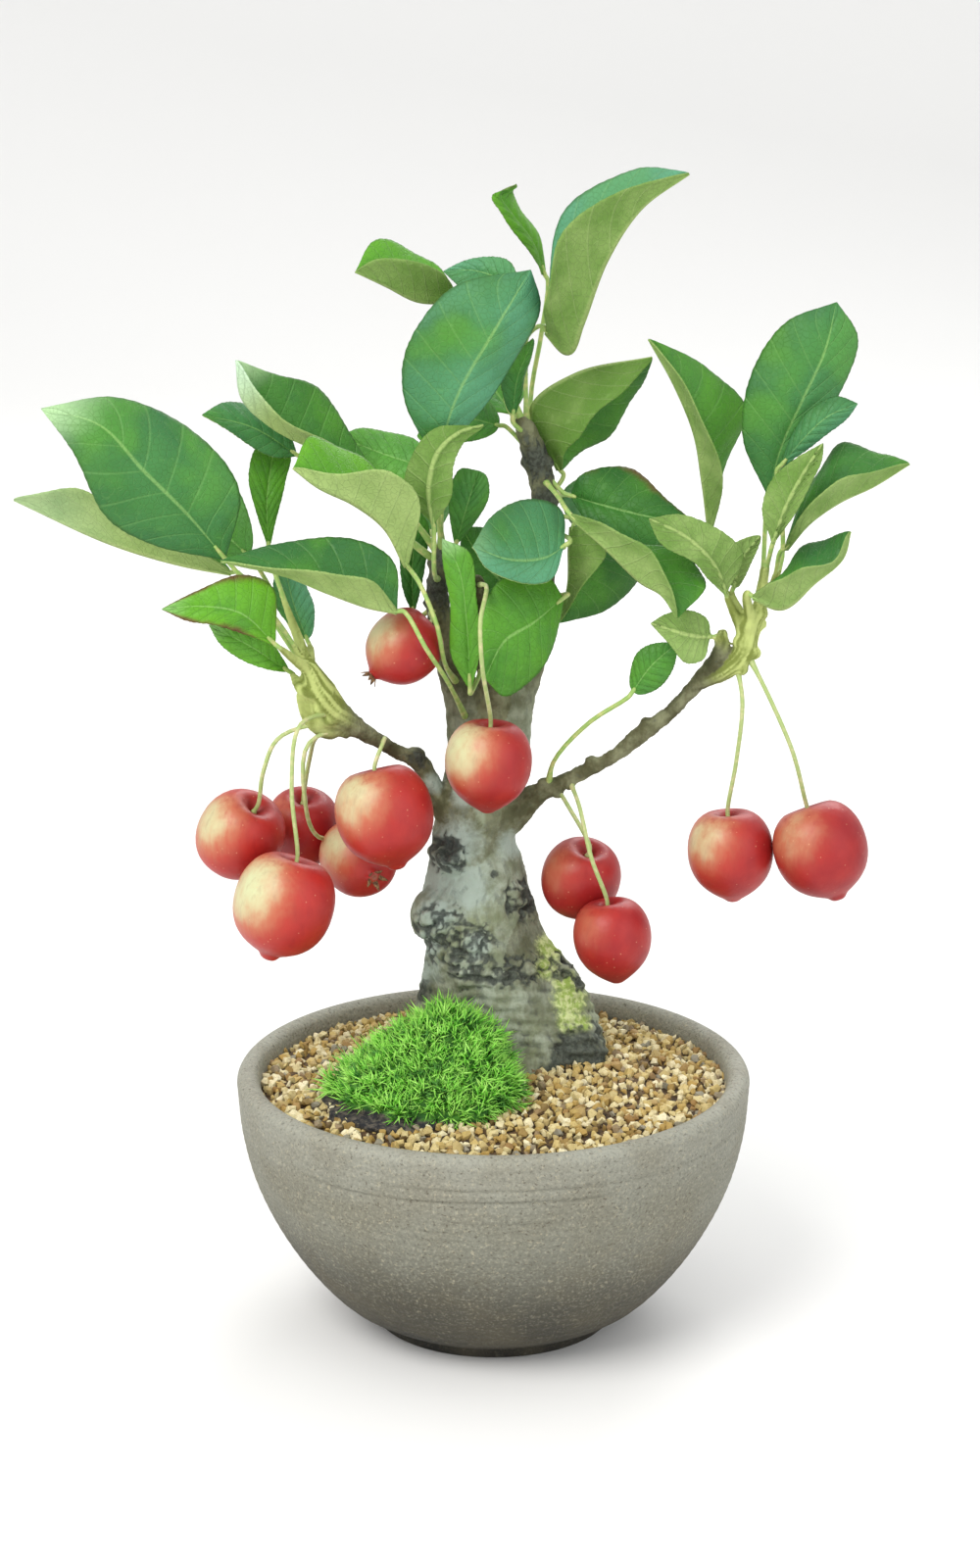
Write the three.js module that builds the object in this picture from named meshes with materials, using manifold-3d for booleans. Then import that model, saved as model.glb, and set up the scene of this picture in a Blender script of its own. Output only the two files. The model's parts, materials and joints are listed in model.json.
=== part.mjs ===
// A fruiting crab-apple bonsai in a round stoneware bowl.
// Millimetres, +Z up. The bowl stands on its foot ring at z = 0 and the tree faces -Y.

import * as THREE from 'three';
import { mergeVertices } from 'three/addons/utils/BufferGeometryUtils.js';
import Module from 'manifold-3d';

const wasm = await Module();
wasm.setup();

// Driving dimensions of the bowl
const rimRadius = 60;
const lipTop = 61.4;
const lipRadius = 2.6;
const footRadius = 28.5;
const footHeight = 3.2;
const footWidth = 4;
const floorTop = 8.5;
const wallThickness = 5.4;
const drainRadius = 6;

// Driving dimensions of what fills it
const soilTop = 53;
const gravelEdge = 57.6;
const gravelDome = 3.2;
const clearance = 0.3;
const facetMargin = 1;
const soilSteps = 9;
const hollowDepth = 1.5;
const hollowClearance = 0.5;

// Driving dimensions of the plant
const leafThickness = 0.8;
const petioleRadius = 0.65;
const stalkRadius = 0.6;
const seat = 1.1;

// Facets round each kind of piece
const bowlSides = 36;
const appleSides = 11;
const petioleSteps = 4;
const bladeSteps = 7;
const leastReach = 0.3;
const stalkSides = 5;
const stalkSteps = 6;
const stalkLead = 1.6;

// The plant is drawn as it is seen from the front: across, up and towards the viewer, from the
// middle of the rim. The eye stands this far off and looks down by this much at a point on the tree.
const eyeDistance = 847.7;
const eyeTilt = THREE.MathUtils.degToRad(15.8);
const rimCentreInView = new THREE.Vector2(0.785, -66.87);
const lookedAt = new THREE.Vector3(-0.785, 0, 129.9);

function place([across, up, front]) {
  const x = across + rimCentreInView.x;
  const y = up + rimCentreInView.y;
  const reach = eyeDistance * Math.cos(eyeTilt);
  const t = (reach - front) / (reach + y * Math.sin(eyeTilt));
  const eyeHeight = lookedAt.z + eyeDistance * Math.sin(eyeTilt);
  const drop = -eyeDistance * Math.sin(eyeTilt) + y * Math.cos(eyeTilt);
  return new THREE.Vector3(lookedAt.x + t * x, -front, eyeHeight + t * drop);
}

// Wood: each limb is a line of points, [across, up, towards the viewer, radius]
const limbs = {
  trunk: [[7, -9, -15, 18], [6, 2, -15, 17], [4, 12, -15, 15.5], [0.5, 22, -15, 15],
    [-2.5, 31, -15, 14], [-4, 38, -15, 13.6], [-4.2, 46, -14.5, 11.9], [-4.6, 54, -14, 9.8],
    [-3.4, 62, -14, 9.2], [-2, 72, -14, 8.8], [-1, 80, -14, 8.2], [-0.4, 87, -14, 6], [0, 92, -14, 2.6]],
  root_right: [[8, 30, -14, 5], [14, 20, -13, 6.6], [18, 9, -12, 7.4], [21, -1, -11, 6.6],
    [23, -8, -10, 5]],
  root_left: [[-9, 30, -16, 6], [-12, 19, -18, 5.6], [-15, 8, -19, 5.4], [-19, -1, -20, 5],
    [-21, -8, -21, 4]],
  root_front: [[2, 12, -7, 7], [5, 2, -3, 6.5], [8, -5, 2, 5], [9, -11, 4, 4]],
  branch_left: [[-6, 54, -12, 5.2], [-11, 61, -11, 3], [-14, 67, -9, 2.1], [-17.5, 72.3, -7, 2.2],
    [-22, 74.2, -4, 1.6], [-26, 76.6, -2, 1.7], [-31, 79.6, 1, 2.3], [-36, 83.2, 3, 3.4],
    [-39.6, 88, 5, 3.6], [-42, 93, 7, 2.2]],
  branch_right: [[3, 59, -12, 4.6], [10, 64.5, -9, 2.5], [16, 67.4, -7, 1.8], [22.5, 70.6, -5, 1.7],
    [28, 73.6, -3, 1.6], [34, 78.5, -1, 2.1], [40, 82.8, 0, 1.7], [44, 87, 1, 1.6],
    [49, 92.4, 2, 2.1], [52, 97, 3, 2], [52.4, 101, 3, 1.4]],
  spur_right: [[47, 90, 2, 1.6], [53, 92.8, 3, 2.1], [57, 96.4, 4, 2.6], [59, 102.5, 4, 2.2],
    [61, 108, 4, 1.6]],
  leader_left: [[-4, 74, -13, 6.4], [-6.4, 85, -13, 4.8], [-9.6, 94, -12, 3.6],
    [-12, 104, -11, 2.9], [-12.8, 112, -10, 2.6],
    [-11.5, 119, -9, 1.9]],
  leader_right: [[2, 75, -14, 6.6], [4.6, 86, -15, 5.2], [8, 96, -16, 4.1], [10, 106, -17, 3.6],
    [11, 116, -17, 3.1],
    [12, 126, -17, 2.9], [11.4, 135, -16, 2.9], [9.6, 142, -16, 3.1], [7.4, 148, -15, 2.3]],
  twig_front: [[0, 86, -9, 3], [-2, 96, -4, 2], [-3.6, 106, 0, 1.8], [-4, 113, 3, 2.1]],
};
// Round scars, knots and burrs: [across, up, towards the viewer, radius]
const knots = [[-13, 37, -8, 6.5], [22.4, 71.8, -5, 1.8], [35.2, 80.2, -1, 2], [-17.8, 73, -7, 2.6],
  [-9.5, 50, -6, 4]];

// Apples: middle, radius, the point its calyx faces, and the line of its stalk from limb to fruit
const apples = [
  { name: 'apple_1', middle: [-58, 55.2, -1.5], radius: 10, calyx: [-64, 45, -6],
    limb: ['branch_left', 0.75], stalk: [[-49, 77.5, 6], [-52.6, 70, 5]] },
  { name: 'apple_2', middle: [-43.8, 57, -18.5], radius: 9, calyx: [-44.4, 45.4, -23],
    limb: ['branch_left', 0.71], stalk: [[-40, 78, -4], [-42, 73, -13]] },
  { name: 'apple_3', middle: [-47.9, 39.5, 15], radius: 11.4, calyx: [-51.5, 27, 17],
    limb: ['branch_left', 0.79], stalk: [[-44.5, 80, 13], [-46.2, 66, 14]] },
  { name: 'apple_4', middle: [-24.8, 60.1, 11], radius: 11, calyx: [-21.5, 46, 14],
    limb: ['branch_left', 0.54], stalk: [[-25, 77, 5]] },
  { name: 'apple_5', middle: [-31, 50, -6], radius: 8.9, calyx: [-27, 45.2, 4],
    limb: ['branch_left', 0.7], stalk: [[-42.4, 76, 6], [-43, 62, 4], [-40.4, 55, -4]] },
  { name: 'apple_6', middle: [-20.5, 98.4, 1], radius: 8.4, calyx: [-28.5, 91, 4],
    limb: ['leader_left', 0.66], stalk: [[-14.5, 106, -5]] },
  { name: 'apple_7', middle: [-1, 71.8, 7.5], radius: 9.8, calyx: [-1.6, 57, 8],
    limb: ['twig_front', 0.97], stalk: [[-1.6, 112, 9], [-3, 104, 17], [-2.6, 94, 17]] },
  { name: 'apple_8', middle: [20.1, 45.2, -10], radius: 9.2, calyx: [17, 34, -15],
    limb: ['branch_right', 0.17], stalk: [[17, 62, -5]] },
  { name: 'apple_9', middle: [27.1, 31.8, 4], radius: 9.1, calyx: [28.7, 20, 5],
    limb: ['branch_right', 0.22], stalk: [[19.6, 62, 0], [22.4, 50, 4.6]] },
  { name: 'apple_10', middle: [54.2, 51.4, 0], radius: 9.9, calyx: [55, 38, 1],
    limb: ['spur_right', 0.4], stalk: [[57, 86, 6], [55.6, 72, 3]] },
  { name: 'apple_11', middle: [75.1, 52.2, 5], radius: 10.6, calyx: [79, 41, 8],
    limb: ['spur_right', 0.56], stalk: [[63.5, 86, 7], [68.6, 74, 7]] },
];

// Leaves: the limb each one grows from, its rib from base to tip, and its edges to the left and right of
// the rib, for someone looking at the upper face from the base: three points, or the widest one alone
const leaves = [
  { name: 'leaf_apex_1', limb: ['leader_right', 0.98],
    rib: [[12.4, 170.6, -9], [17, 166, -7], [20, 172.6, -4], [25.5, 187, -2], [33.5, 199, 0],
      [44.5, 207, 2]],
    left: [[12.8, 183, -12], [18, 200, -13], [31.6, 208, -8]],
    right: [[11.6, 179, 3], [15.4, 192, 5], [27.6, 202, 4]],
    route: [[7.4, 158, -21], [7.6, 169, -15]] },
  { name: 'leaf_apex_2', limb: ['leader_right', 0.9],
    rib: [[12, 183.5, -20], [9.4, 191, -17], [4.4, 197.8, -14], [2, 201.6, -13], [5.6, 203.6, -15]],
    left: [[7.6, 189.8, -14], [2.2, 197, -11], [-0.2, 201.4, -11]],
    right: [[10.6, 192, -21], [6.4, 198.6, -19], [4.4, 202.4, -17]],
    route: [[8.6, 156, -31], [11, 170, -27]] },
  { name: 'leaf_apex_3', limb: ['leader_right', 1],
    rib: [[-8, 178, -14], [-17, 178, -11], [-24, 181.2, -9], [-31.4, 184.6, -7]],
    left: [[-12, 184.5, -8], [-19, 186.4, -5], [-26, 187.4, -5]],
    right: [[-13, 186, -18], [-20, 190, -18], [-27.5, 191.2, -13]] },
  { name: 'leaf_apex_4', limb: ['leader_right', 0.92],
    rib: [[6, 176, -20], [2, 182, -25], [-4, 184.5, -28], [-11.5, 184.4, -30]],
    left: [[1, 175, -20], [-3, 178, -23], [-8, 181, -27]],
    right: [[4.5, 185.5, -24], [0.5, 187.6, -28], [-6, 186.8, -30]], route: [[2.6, 156, -24]] },
  { name: 'leaf_apex_5', limb: ['leader_left', 1],
    rib: [[-13, 141, 2], [-8, 156, 5], [0, 170, 5], [8.6, 184.6, 0]],
    left: [[-20.6, 155, 3], [-19.4, 169, 4], [-9, 181, 1]],
    right: [[-1.5, 154, -1], [6, 165, -3], [10.8, 176, -4]] },
  { name: 'leaf_apex_6', limb: ['leader_right', 0.86],
    rib: [[1.5, 149, -19], [-7, 150.5, -12], [-17.4, 146.8, -8]], left: [-9, 145, -9],
    right: [-6, 157, -17] },
  { name: 'leaf_apex_7', limb: ['leader_right', 0.97],
    rib: [[4.6, 151.4, -10.5], [5.8, 160, -8.5], [9.4, 168.6, -7]], left: [2.2, 161, -6.5],
    right: [7.2, 159.6, -12] },
  { name: 'leaf_upper_1', limb: ['leader_left', 0.98],
    rib: [[-28, 138.6, -10], [-40, 143.6, -6], [-50, 148.4, -2], [-57, 155, 2], [-58.4, 163.8, 4]],
    left: [[-37.6, 145.4, -3], [-48.6, 150.6, 4], [-54, 157, 6]],
    right: [[-33, 147.4, -11], [-38.6, 157.4, -12], [-49, 160.4, -6]] },
  { name: 'leaf_upper_2', limb: ['leader_left', 0.3],
    rib: [[-19.6, 117, 4], [-24.6, 126, 7], [-32, 131.6, 9], [-40, 135.2, 10], [-45.6, 139.6, 10]],
    left: [[-17, 131, 13], [-22, 138.6, 15], [-35, 137.8, 12]],
    right: [[-24, 134, 0], [-32, 143, -2], [-42, 146.6, 3]],
    route: [[-11.2, 94.6, 3], [-13, 103.4, 9], [-16.8, 112.6, 7]] },
  { name: 'leaf_upper_3', limb: ['leader_left', 0.94],
    rib: [[-45, 142.4, -9], [-55, 148.6, -5], [-66.5, 151.6, -1]],
    left: [[-49.6, 141.6, -5], [-56, 144.6, -3], [-61.4, 148.4, -1]],
    right: [[-48, 150, -10], [-54.6, 153.6, -10], [-61.6, 154.2, -6]] },
  { name: 'leaf_upper_4', limb: ['leader_left', 0.9],
    rib: [[-14, 139, -14], [-25, 142.5, -18], [-35, 146.5, -22]], left: [-25, 137, -15],
    right: [[-17.6, 145.6, -20], [-25, 147.8, -23], [-31, 148.2, -24]] },
  { name: 'leaf_left_1', limb: ['branch_left', 1],
    rib: [[-51.4, 121, -4], [-51.8, 132, -6], [-49.6, 147, -14]],
    left: [[-54, 128, -5], [-56, 137, -6], [-54.6, 143.6, -10]],
    right: [[-49.6, 128, -6], [-47.6, 136, -9], [-46.4, 142, -13]] },
  { name: 'leaf_left_2', limb: ['branch_left', 0.93],
    rib: [[-61.5, 118.6, 8], [-70, 128.5, 11], [-80, 138.5, 13], [-90, 149, 12], [-103.6, 153, 8]],
    left: [[-78, 121.5, 14], [-89, 128, 16], [-96.5, 143, 13]],
    right: [[-58, 134, 7], [-68, 147.6, 5], [-86, 155.4, 6]], route: [[-48.6, 103, 8.6]] },
  { name: 'leaf_left_3', limb: ['branch_left', 0.87],
    rib: [[-60, 115.6, -3], [-72, 117.8, -5], [-88, 122.6, -7], [-109.6, 132.4, -8]],
    left: [[-73, 124, 2], [-88, 133, 3], [-98, 134.4, -1]],
    right: [[-70, 126, -14], [-83, 132, -17], [-97, 134, -13]], route: [[-47, 99, 1]] },
  { name: 'leaf_left_4', limb: ['leader_left', 0.1],
    rib: [[-22, 106.6, 12], [-29, 107.8, 14], [-38, 111, 16], [-48, 115, 17], [-62.4, 118.2, 17]],
    left: [[-28, 113.4, 19], [-37, 115.4, 21], [-50, 116.2, 20]],
    right: [[-22.6, 117.6, 10], [-36, 123.8, 9], [-50, 121.8, 12]],
    route: [[-10.6, 90.5, 4], [-15.5, 98, 12.5]] },
  { name: 'leaf_left_5', limb: ['branch_left', 0.985],
    rib: [[-50, 99, 16], [-58, 106, 21], [-67, 107.6, 22], [-76, 107, 22]],
    left: [[-56.4, 101, 20], [-63.4, 103.2, 23], [-70, 104.2, 23]],
    right: [[-50.6, 112, 15], [-57.6, 115, 17], [-67.6, 111.2, 20]] },
  { name: 'leaf_left_6', limb: ['branch_left', 0.85],
    rib: [[-47, 92.8, 5], [-55, 98, 12], [-65, 103.2, 15]],
    left: [[-51, 93, 9.6], [-57.4, 95.2, 12], [-62.6, 99, 14]],
    right: [[-49.4, 97.6, 6.4], [-53, 102.4, 10], [-60, 104, 13]], route: [[-44.2, 88.4, 9.4]] },
  { name: 'leaf_left_7', limb: ['branch_left', 1],
    rib: [[-42.6, 100, -7], [-45.6, 108, -11], [-48, 118, -18]], left: [-50.2, 109, -10],
    right: [-41.8, 110, -14] },
  { name: 'leaf_middle_1', limb: ['leader_left', 0.84],
    rib: [[-13.8, 127, 6], [-14.6, 135, 9], [-12.6, 142.6, 9.5], [-8, 147, 8], [-2.4, 148.6, 5]],
    left: [[-9.8, 132, 8], [-9.2, 139.4, 9], [-7, 145, 7.4]],
    right: [[-20, 133, 4], [-18.8, 142, 5], [-13, 148.4, 5.4]], route: [[-13.6, 116, 2]] },
  { name: 'leaf_middle_2', limb: ['leader_left', 0.97],
    rib: [[-8.6, 121.6, -3], [-6, 130.5, -2], [-3.4, 138.6, -4]],
    left: [[-10, 128, -3], [-10, 134, -3], [-7.6, 139, -4]],
    right: [[-4, 127, -4], [-1, 133, -4], [-1.6, 137.4, -4]] },
  { name: 'leaf_middle_3', limb: ['leader_right', 0.62],
    rib: [[16.4, 121.6, 5], [11.5, 118.6, 9], [4, 118.2, 12], [-4.6, 121.4, 14]],
    left: [[13, 113.4, 15], [5, 113.4, 18], [-1.4, 116, 17]],
    right: [[15.6, 129.4, -3], [7.4, 132.6, 0], [-0.6, 128.2, 8]] },
  { name: 'leaf_middle_4', limb: ['leader_right', 0.45],
    rib: [[16, 109.4, 3], [9, 103.6, 9], [2.6, 99.6, 11.5], [-2, 91, 12]],
    left: [[14, 99, 6], [9.4, 91, 10], [2.6, 86.8, 12]],
    right: [[12, 115, 2], [1.6, 114, 7], [-3, 104, 11]], route: [[12.6, 109.6, -3]] },
  { name: 'leaf_middle_5', limb: ['twig_front', 0.3],
    rib: [[-5.4, 89, 3], [-6.2, 104, 6], [-8, 116, 7], [-11.8, 123, 6]],
    left: [[-9.6, 96, 4], [-10, 108, 5], [-11.6, 118, 5]],
    right: [[-3, 98, 6], [-4, 110, 7], [-5.6, 120, 7]] },
  { name: 'leaf_middle_6', limb: ['leader_left', 0.7],
    rib: [[-18.4, 106, -14], [-18.6, 117, -15], [-17, 129.4, -15]],
    left: [[-20.6, 111, -14], [-21.4, 120, -15], [-20, 127, -15]],
    right: [[-16.8, 111, -14], [-15.2, 120, -15], [-14.8, 126, -15]] },
  { name: 'leaf_inner_1', limb: ['leader_right', 0.7],
    rib: [[15.4, 139, -18], [9.2, 152.6, -19], [19, 160.2, -19], [36.4, 164, -14]],
    left: [[17, 143.5, -12], [22.5, 149.5, -10], [30, 157, -10]],
    right: [[19, 141.5, -22], [27, 147.5, -25], [33.4, 156.5, -21]] },
  { name: 'leaf_inner_2', limb: ['leader_right', 0.84],
    rib: [[17.6, 133, -12.6], [24, 131, -9], [34, 128.5, -6], [46.4, 126.4, -4]],
    left: [[20, 137.6, -12], [31, 139.6, -13], [40, 131.8, -8]],
    right: [[21, 127.6, -8], [29, 122.6, -5], [38, 120.4, -3]] },
  { name: 'leaf_inner_3', limb: ['leader_right', 0.79],
    rib: [[18, 128.5, 4], [26, 121.5, 8], [33.6, 113.8, 11], [38.6, 110.6, 14], [42.4, 105, 16]],
    left: [[30, 122.6, 5], [44.5, 119.6, 6], [48.8, 112.6, 10]],
    right: [[26.4, 126, 12], [35, 121, 16], [40.4, 113, 18]], route: [[15, 132.4, -4]] },
  { name: 'leaf_inner_4', limb: ['leader_right', 0.66],
    rib: [[18.4, 125.6, -6], [17.8, 120, -4], [17.4, 112, -5], [15.2, 103.6, -6]],
    left: [[27, 120.4, -12], [34.4, 114, -14], [26, 106.8, -10]],
    right: [[22.6, 125.4, 0], [25.6, 120, 2], [19.6, 110.6, 0]] },
  { name: 'leaf_right_1', limb: ['spur_right', 0.62],
    rib: [[53, 110.8, 7], [50, 117.5, 12], [44, 123.4, 14], [35.5, 127.6, 15]],
    left: [[57.4, 119, 9], [53.4, 124, 11], [43, 128.6, 13]],
    right: [[49.4, 113.6, 12], [46, 117.6, 14], [38.4, 121.8, 16]] },
  { name: 'leaf_right_2', limb: ['spur_right', 0.73],
    rib: [[55, 112, 3], [56.6, 118, 3], [61, 123.8, 2]], left: [58.8, 117.2, 3],
    right: [53, 120, 3] },
  { name: 'leaf_right_3', limb: ['branch_right', 0.97],
    rib: [[49.6, 100.6, 8], [44.6, 101, 10], [36, 103.6, 10]],
    left: [[49, 104.6, 8], [45, 106.6, 8], [39.6, 105.8, 9]],
    right: [[48, 95.4, 9], [44, 94.6, 11], [40.2, 99, 11]] },
  { name: 'leaf_right_4', limb: ['branch_right', 0.14],
    rib: [[31.8, 88, 4], [36, 93.8, 6], [41.6, 98.8, 6]], left: [33.4, 97.4, 4], right: [39.6, 90.6, 6],
    route: [[14, 72.4, -4], [22, 81, 0]] },
  { name: 'leaf_right_5', limb: ['spur_right', 0.67],
    rib: [[50, 125, -7], [48.6, 136, -5], [46.4, 147, -3], [42, 158, -1], [36, 168.8, 2]],
    left: [[52.6, 135.5, 0], [49.6, 146.5, 4], [44.4, 157.6, 5]],
    right: [[52.8, 138, -8], [57.6, 152.4, -10], [50, 161.8, -8]], route: [[53, 112, -6]] },
  { name: 'leaf_right_6', limb: ['spur_right', 1],
    rib: [[63, 133, 0], [66, 144, 3], [71, 155, 4], [76, 166, 3], [78.6, 177.2, 0]],
    left: [[57, 146, 1], [58.6, 160, 1], [66.4, 172.4, 0]],
    right: [[72, 146, 2], [80.4, 158.4, 1], [83.6, 169, 0]], route: [[61.8, 117, -4]] },
  { name: 'leaf_right_7', limb: ['spur_right', 0.82],
    rib: [[66, 140, 8], [71, 146, 10], [76.5, 151, 11], [83.4, 154, 10]],
    left: [[68.4, 147, 8], [72.6, 152.6, 8], [78.4, 155.6, 9]],
    right: [[70.6, 142.6, 9], [75.6, 146.4, 10], [81, 150.6, 10]],
    route: [[65.8, 117, 3.5], [65.8, 131, 5]] },
  { name: 'leaf_right_8', limb: ['spur_right', 0.99],
    rib: [[64.2, 122.4, 13], [67, 130, 16], [71, 137.6, 17], [75.6, 144.8, 17]],
    left: [[69, 128.6, 17], [72.6, 135.4, 18], [75, 140.4, 18]],
    right: [[61.6, 129, 14], [63.6, 136.4, 14], [69.4, 141.4, 15]], route: [[62, 113.6, 6.5]] },
  { name: 'leaf_right_9', limb: ['spur_right', 0.93],
    rib: [[66.6, 121, 8], [72, 127, 12], [79, 131.8, 13], [86.6, 135.4, 13], [95, 140.6, 12]],
    left: [[72.4, 136, 4], [79.6, 144.6, 3], [89, 142.8, 7]],
    right: [[70.6, 128.6, 15], [77.6, 135.8, 18], [86, 138.2, 16]], route: [[64.2, 113, 5]] },
  { name: 'leaf_right_10', limb: ['spur_right', 0.78],
    rib: [[59.6, 110, 11], [66, 107.6, 13], [73, 113.2, 15], [79.4, 118.6, 14], [81.2, 124.8, 12]],
    left: [[66, 115.4, 8], [71.6, 121.6, 6], [77.4, 123.6, 9]],
    right: [[64, 113.4, 17], [70, 116, 19], [77.6, 117.8, 18]] },
  { name: 'leaf_back_1', limb: ['leader_right', 0.87],
    rib: [[4, 152, -29], [-3, 162, -43], [-8, 170, -58]],
    left: [-14, 160, -41], right: [6, 167, -47] },
  { name: 'leaf_back_2', limb: ['leader_right', 0.78],
    rib: [[16, 133, -27], [26, 132.6, -42], [36, 130, -57]],
    left: [26, 138, -44], right: [24, 123, -38] },
  { name: 'leaf_back_3', limb: ['leader_left', 0.8],
    rib: [[-14, 124, -20], [-18, 132, -38], [-25, 140, -56]],
    left: [-25, 130, -35], right: [-10, 137, -41] },
  { name: 'leaf_back_4', limb: ['leader_right', 0.5],
    rib: [[8.6, 107, -24], [3, 112, -28], [-3, 118.5, -32], [-7, 125, -37]],
    left: [-4.6, 108, -29], right: [5, 122, -33] },
  { name: 'leaf_back_5', limb: ['branch_left', 0.8],
    rib: [[-56, 119, -19], [-68, 130, -30], [-80, 138, -46]],
    left: [-76, 124, -30], right: [-62, 138, -32], route: [[-39, 88, -8], [-49, 108, -22]] },
];

// Colours and finishes
function material(colour, roughness) {
  return new THREE.MeshStandardMaterial({ color: colour, roughness, metalness: 0 });
}
const stoneware = material('#98968b', 0.75);
const soilMix = material('#4a3b2c', 0.95);
const gravelMix = material('#c2a26b', 0.9);
const mossGreen = material('#5c9a35', 0.95);
const bark = material('#82857a', 0.85);
const leafGreen = material('#4a8a4a', 0.5);
const appleSkin = material('#c23a32', 0.3);
const meshPlastic = material('#2b2b2b', 0.6);

// Solids for cutting and joining
function solidOf(geometry) {
  const bare = geometry.clone();
  bare.deleteAttribute('normal');
  bare.deleteAttribute('uv');
  const merged = mergeVertices(bare, 1e-4);
  return new wasm.Manifold(new wasm.Mesh({
    numProp: 3,
    vertProperties: new Float32Array(merged.attributes.position.array),
    triVerts: new Uint32Array(merged.index.array),
  }));
}

function geometryOf(solid) {
  const { vertProperties, triVerts } = solid.getMesh();
  const geometry = new THREE.BufferGeometry();
  geometry.setAttribute('position', new THREE.BufferAttribute(new Float32Array(vertProperties), 3));
  geometry.setIndex(new THREE.BufferAttribute(new Uint32Array(triVerts), 1));
  return geometry;
}

function joined(geometries) {
  return geometries.map(solidOf).reduce((whole, next) => whole.add(next));
}

function piece(name, geometry, finish) {
  const mesh = new THREE.Mesh(geometry, finish);
  mesh.name = name;
  return mesh;
}

// A lathed outline is given as [radius, height] and turned so that its axis is +Z
function turned(outline, sides) {
  const points = outline.map(([radius, height]) => new THREE.Vector2(radius, height));
  return new THREE.LatheGeometry(points, sides).rotateX(Math.PI / 2);
}

// Bowl: outside radius at a height, from the foot's edge up to the rim
const flank = new THREE.CatmullRomCurve3([
  [31, 3.4], [37, 7], [44, 14.5], [51, 25], [56, 36], [59, 48], [rimRadius, lipTop - lipRadius],
].map(([radius, height]) => new THREE.Vector3(radius, 0, height)));

function flankPoint(t, inset) {
  const at = flank.getPoint(t);
  const along = flank.getTangent(t);
  return [at.x - along.z * inset, at.z + along.x * inset];
}

function lipArc() {
  const arc = [];
  const middle = rimRadius - lipRadius;
  for (let i = 1; i <= 3; i += 1) {
    const turn = (Math.PI * i) / 4;
    arc.push([middle + lipRadius * Math.cos(turn), lipTop - lipRadius + lipRadius * Math.sin(turn)]);
  }
  return arc;
}

function bowlGeometry() {
  const outside = [0, 0.2, 0.4, 0.6, 0.8, 1].map((t) => flankPoint(t, 0));
  const inside = [0.97, 0.76, 0.54, 0.32].map((t) => flankPoint(t, wallThickness));
  const outline = [
    [footRadius, 0], [footRadius, footHeight], ...outside, ...lipArc(), ...inside,
    [34, floorTop], [drainRadius, floorTop], [drainRadius, footHeight],
    [footRadius - footWidth, footHeight], [footRadius - footWidth, 0], [footRadius, 0],
  ];
  return turned(outline, bowlSides);
}

// The bowl's inside radius at a height, less the clearance and a margin for its facets
function insideRadius(height) {
  let best = 0;
  for (let t = 0.25; t <= 1; t += 0.01) {
    const [radius, at] = flankPoint(t, wallThickness + clearance + facetMargin);
    if (at <= height) best = radius;
  }
  return best;
}

// A net over the drain hole keeps the soil in: bars laid both ways, joined where they cross
const netWidth = 22;
const netBars = 4;
const barWidth = 1.6;
const barThickness = 1;

function netSolid() {
  const bars = [];
  const pitch = (netWidth - barWidth) / (netBars - 1);
  for (let i = 0; i < netBars; i += 1) {
    const across = i * pitch - (netWidth - barWidth) / 2;
    const height = floorTop + clearance + barThickness / 2;
    bars.push(new THREE.BoxGeometry(netWidth, barWidth, barThickness).translate(0, across, height));
    bars.push(new THREE.BoxGeometry(barWidth, netWidth, barThickness).translate(across, 0, height));
  }
  return joined(bars);
}

// Limbs: a bent cylinder whose radius follows the limb's own
function limbCurve(points) {
  return new THREE.CatmullRomCurve3(points.map(place), false, 'centripetal');
}

function radiusAlong(points, t) {
  const at = t * (points.length - 1);
  const low = Math.min(Math.floor(at), points.length - 2);
  return THREE.MathUtils.lerp(points[low][3], points[low + 1][3], at - low);
}

function tube(curve, radiusAt, sides, steps) {
  const geometry = new THREE.CylinderGeometry(1, 1, 1, sides, steps);
  const frames = curve.computeFrenetFrames(steps, false);
  const position = geometry.attributes.position;
  for (let i = 0; i < position.count; i += 1) {
    const step = Math.round((position.getY(i) + 0.5) * steps);
    const t = step / steps;
    const reach = Math.hypot(position.getX(i), position.getZ(i)) * radiusAt(t);
    const turn = Math.atan2(position.getX(i), position.getZ(i));
    const at = curve.getPoint(t)
      .addScaledVector(frames.normals[step], reach * Math.cos(turn))
      .addScaledVector(frames.binormals[step], reach * Math.sin(turn));
    position.setXYZ(i, at.x, at.y, at.z);
  }
  return geometry;
}

function limbGeometry(points, extra) {
  const sides = points[0][3] > 10 ? 14 : 8;
  const steps = points.length + 1;
  return tube(limbCurve(points), (t) => radiusAlong(points, t) + extra, sides, steps);
}

function knotGeometry([across, up, front, radius]) {
  return new THREE.SphereGeometry(radius, 8, 6).translate(...place([across, up, front]));
}

function woodSolid() {
  const parts = Object.values(limbs).map((points) => limbGeometry(points, 0));
  return joined([...parts, ...knots.map(knotGeometry)]);
}

// The foot of the tree, a little larger, is the hollow that it fills in the soil
function footHollow() {
  const names = ['trunk', 'root_right', 'root_left', 'root_front'];
  const deeper = names.map((name) => {
    const points = limbs[name].map((point) => [...point]);
    const low = name === 'trunk' ? points[0] : points[points.length - 1];
    low[1] -= hollowDepth;
    return limbGeometry(points, hollowClearance);
  });
  return joined(deeper);
}

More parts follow.
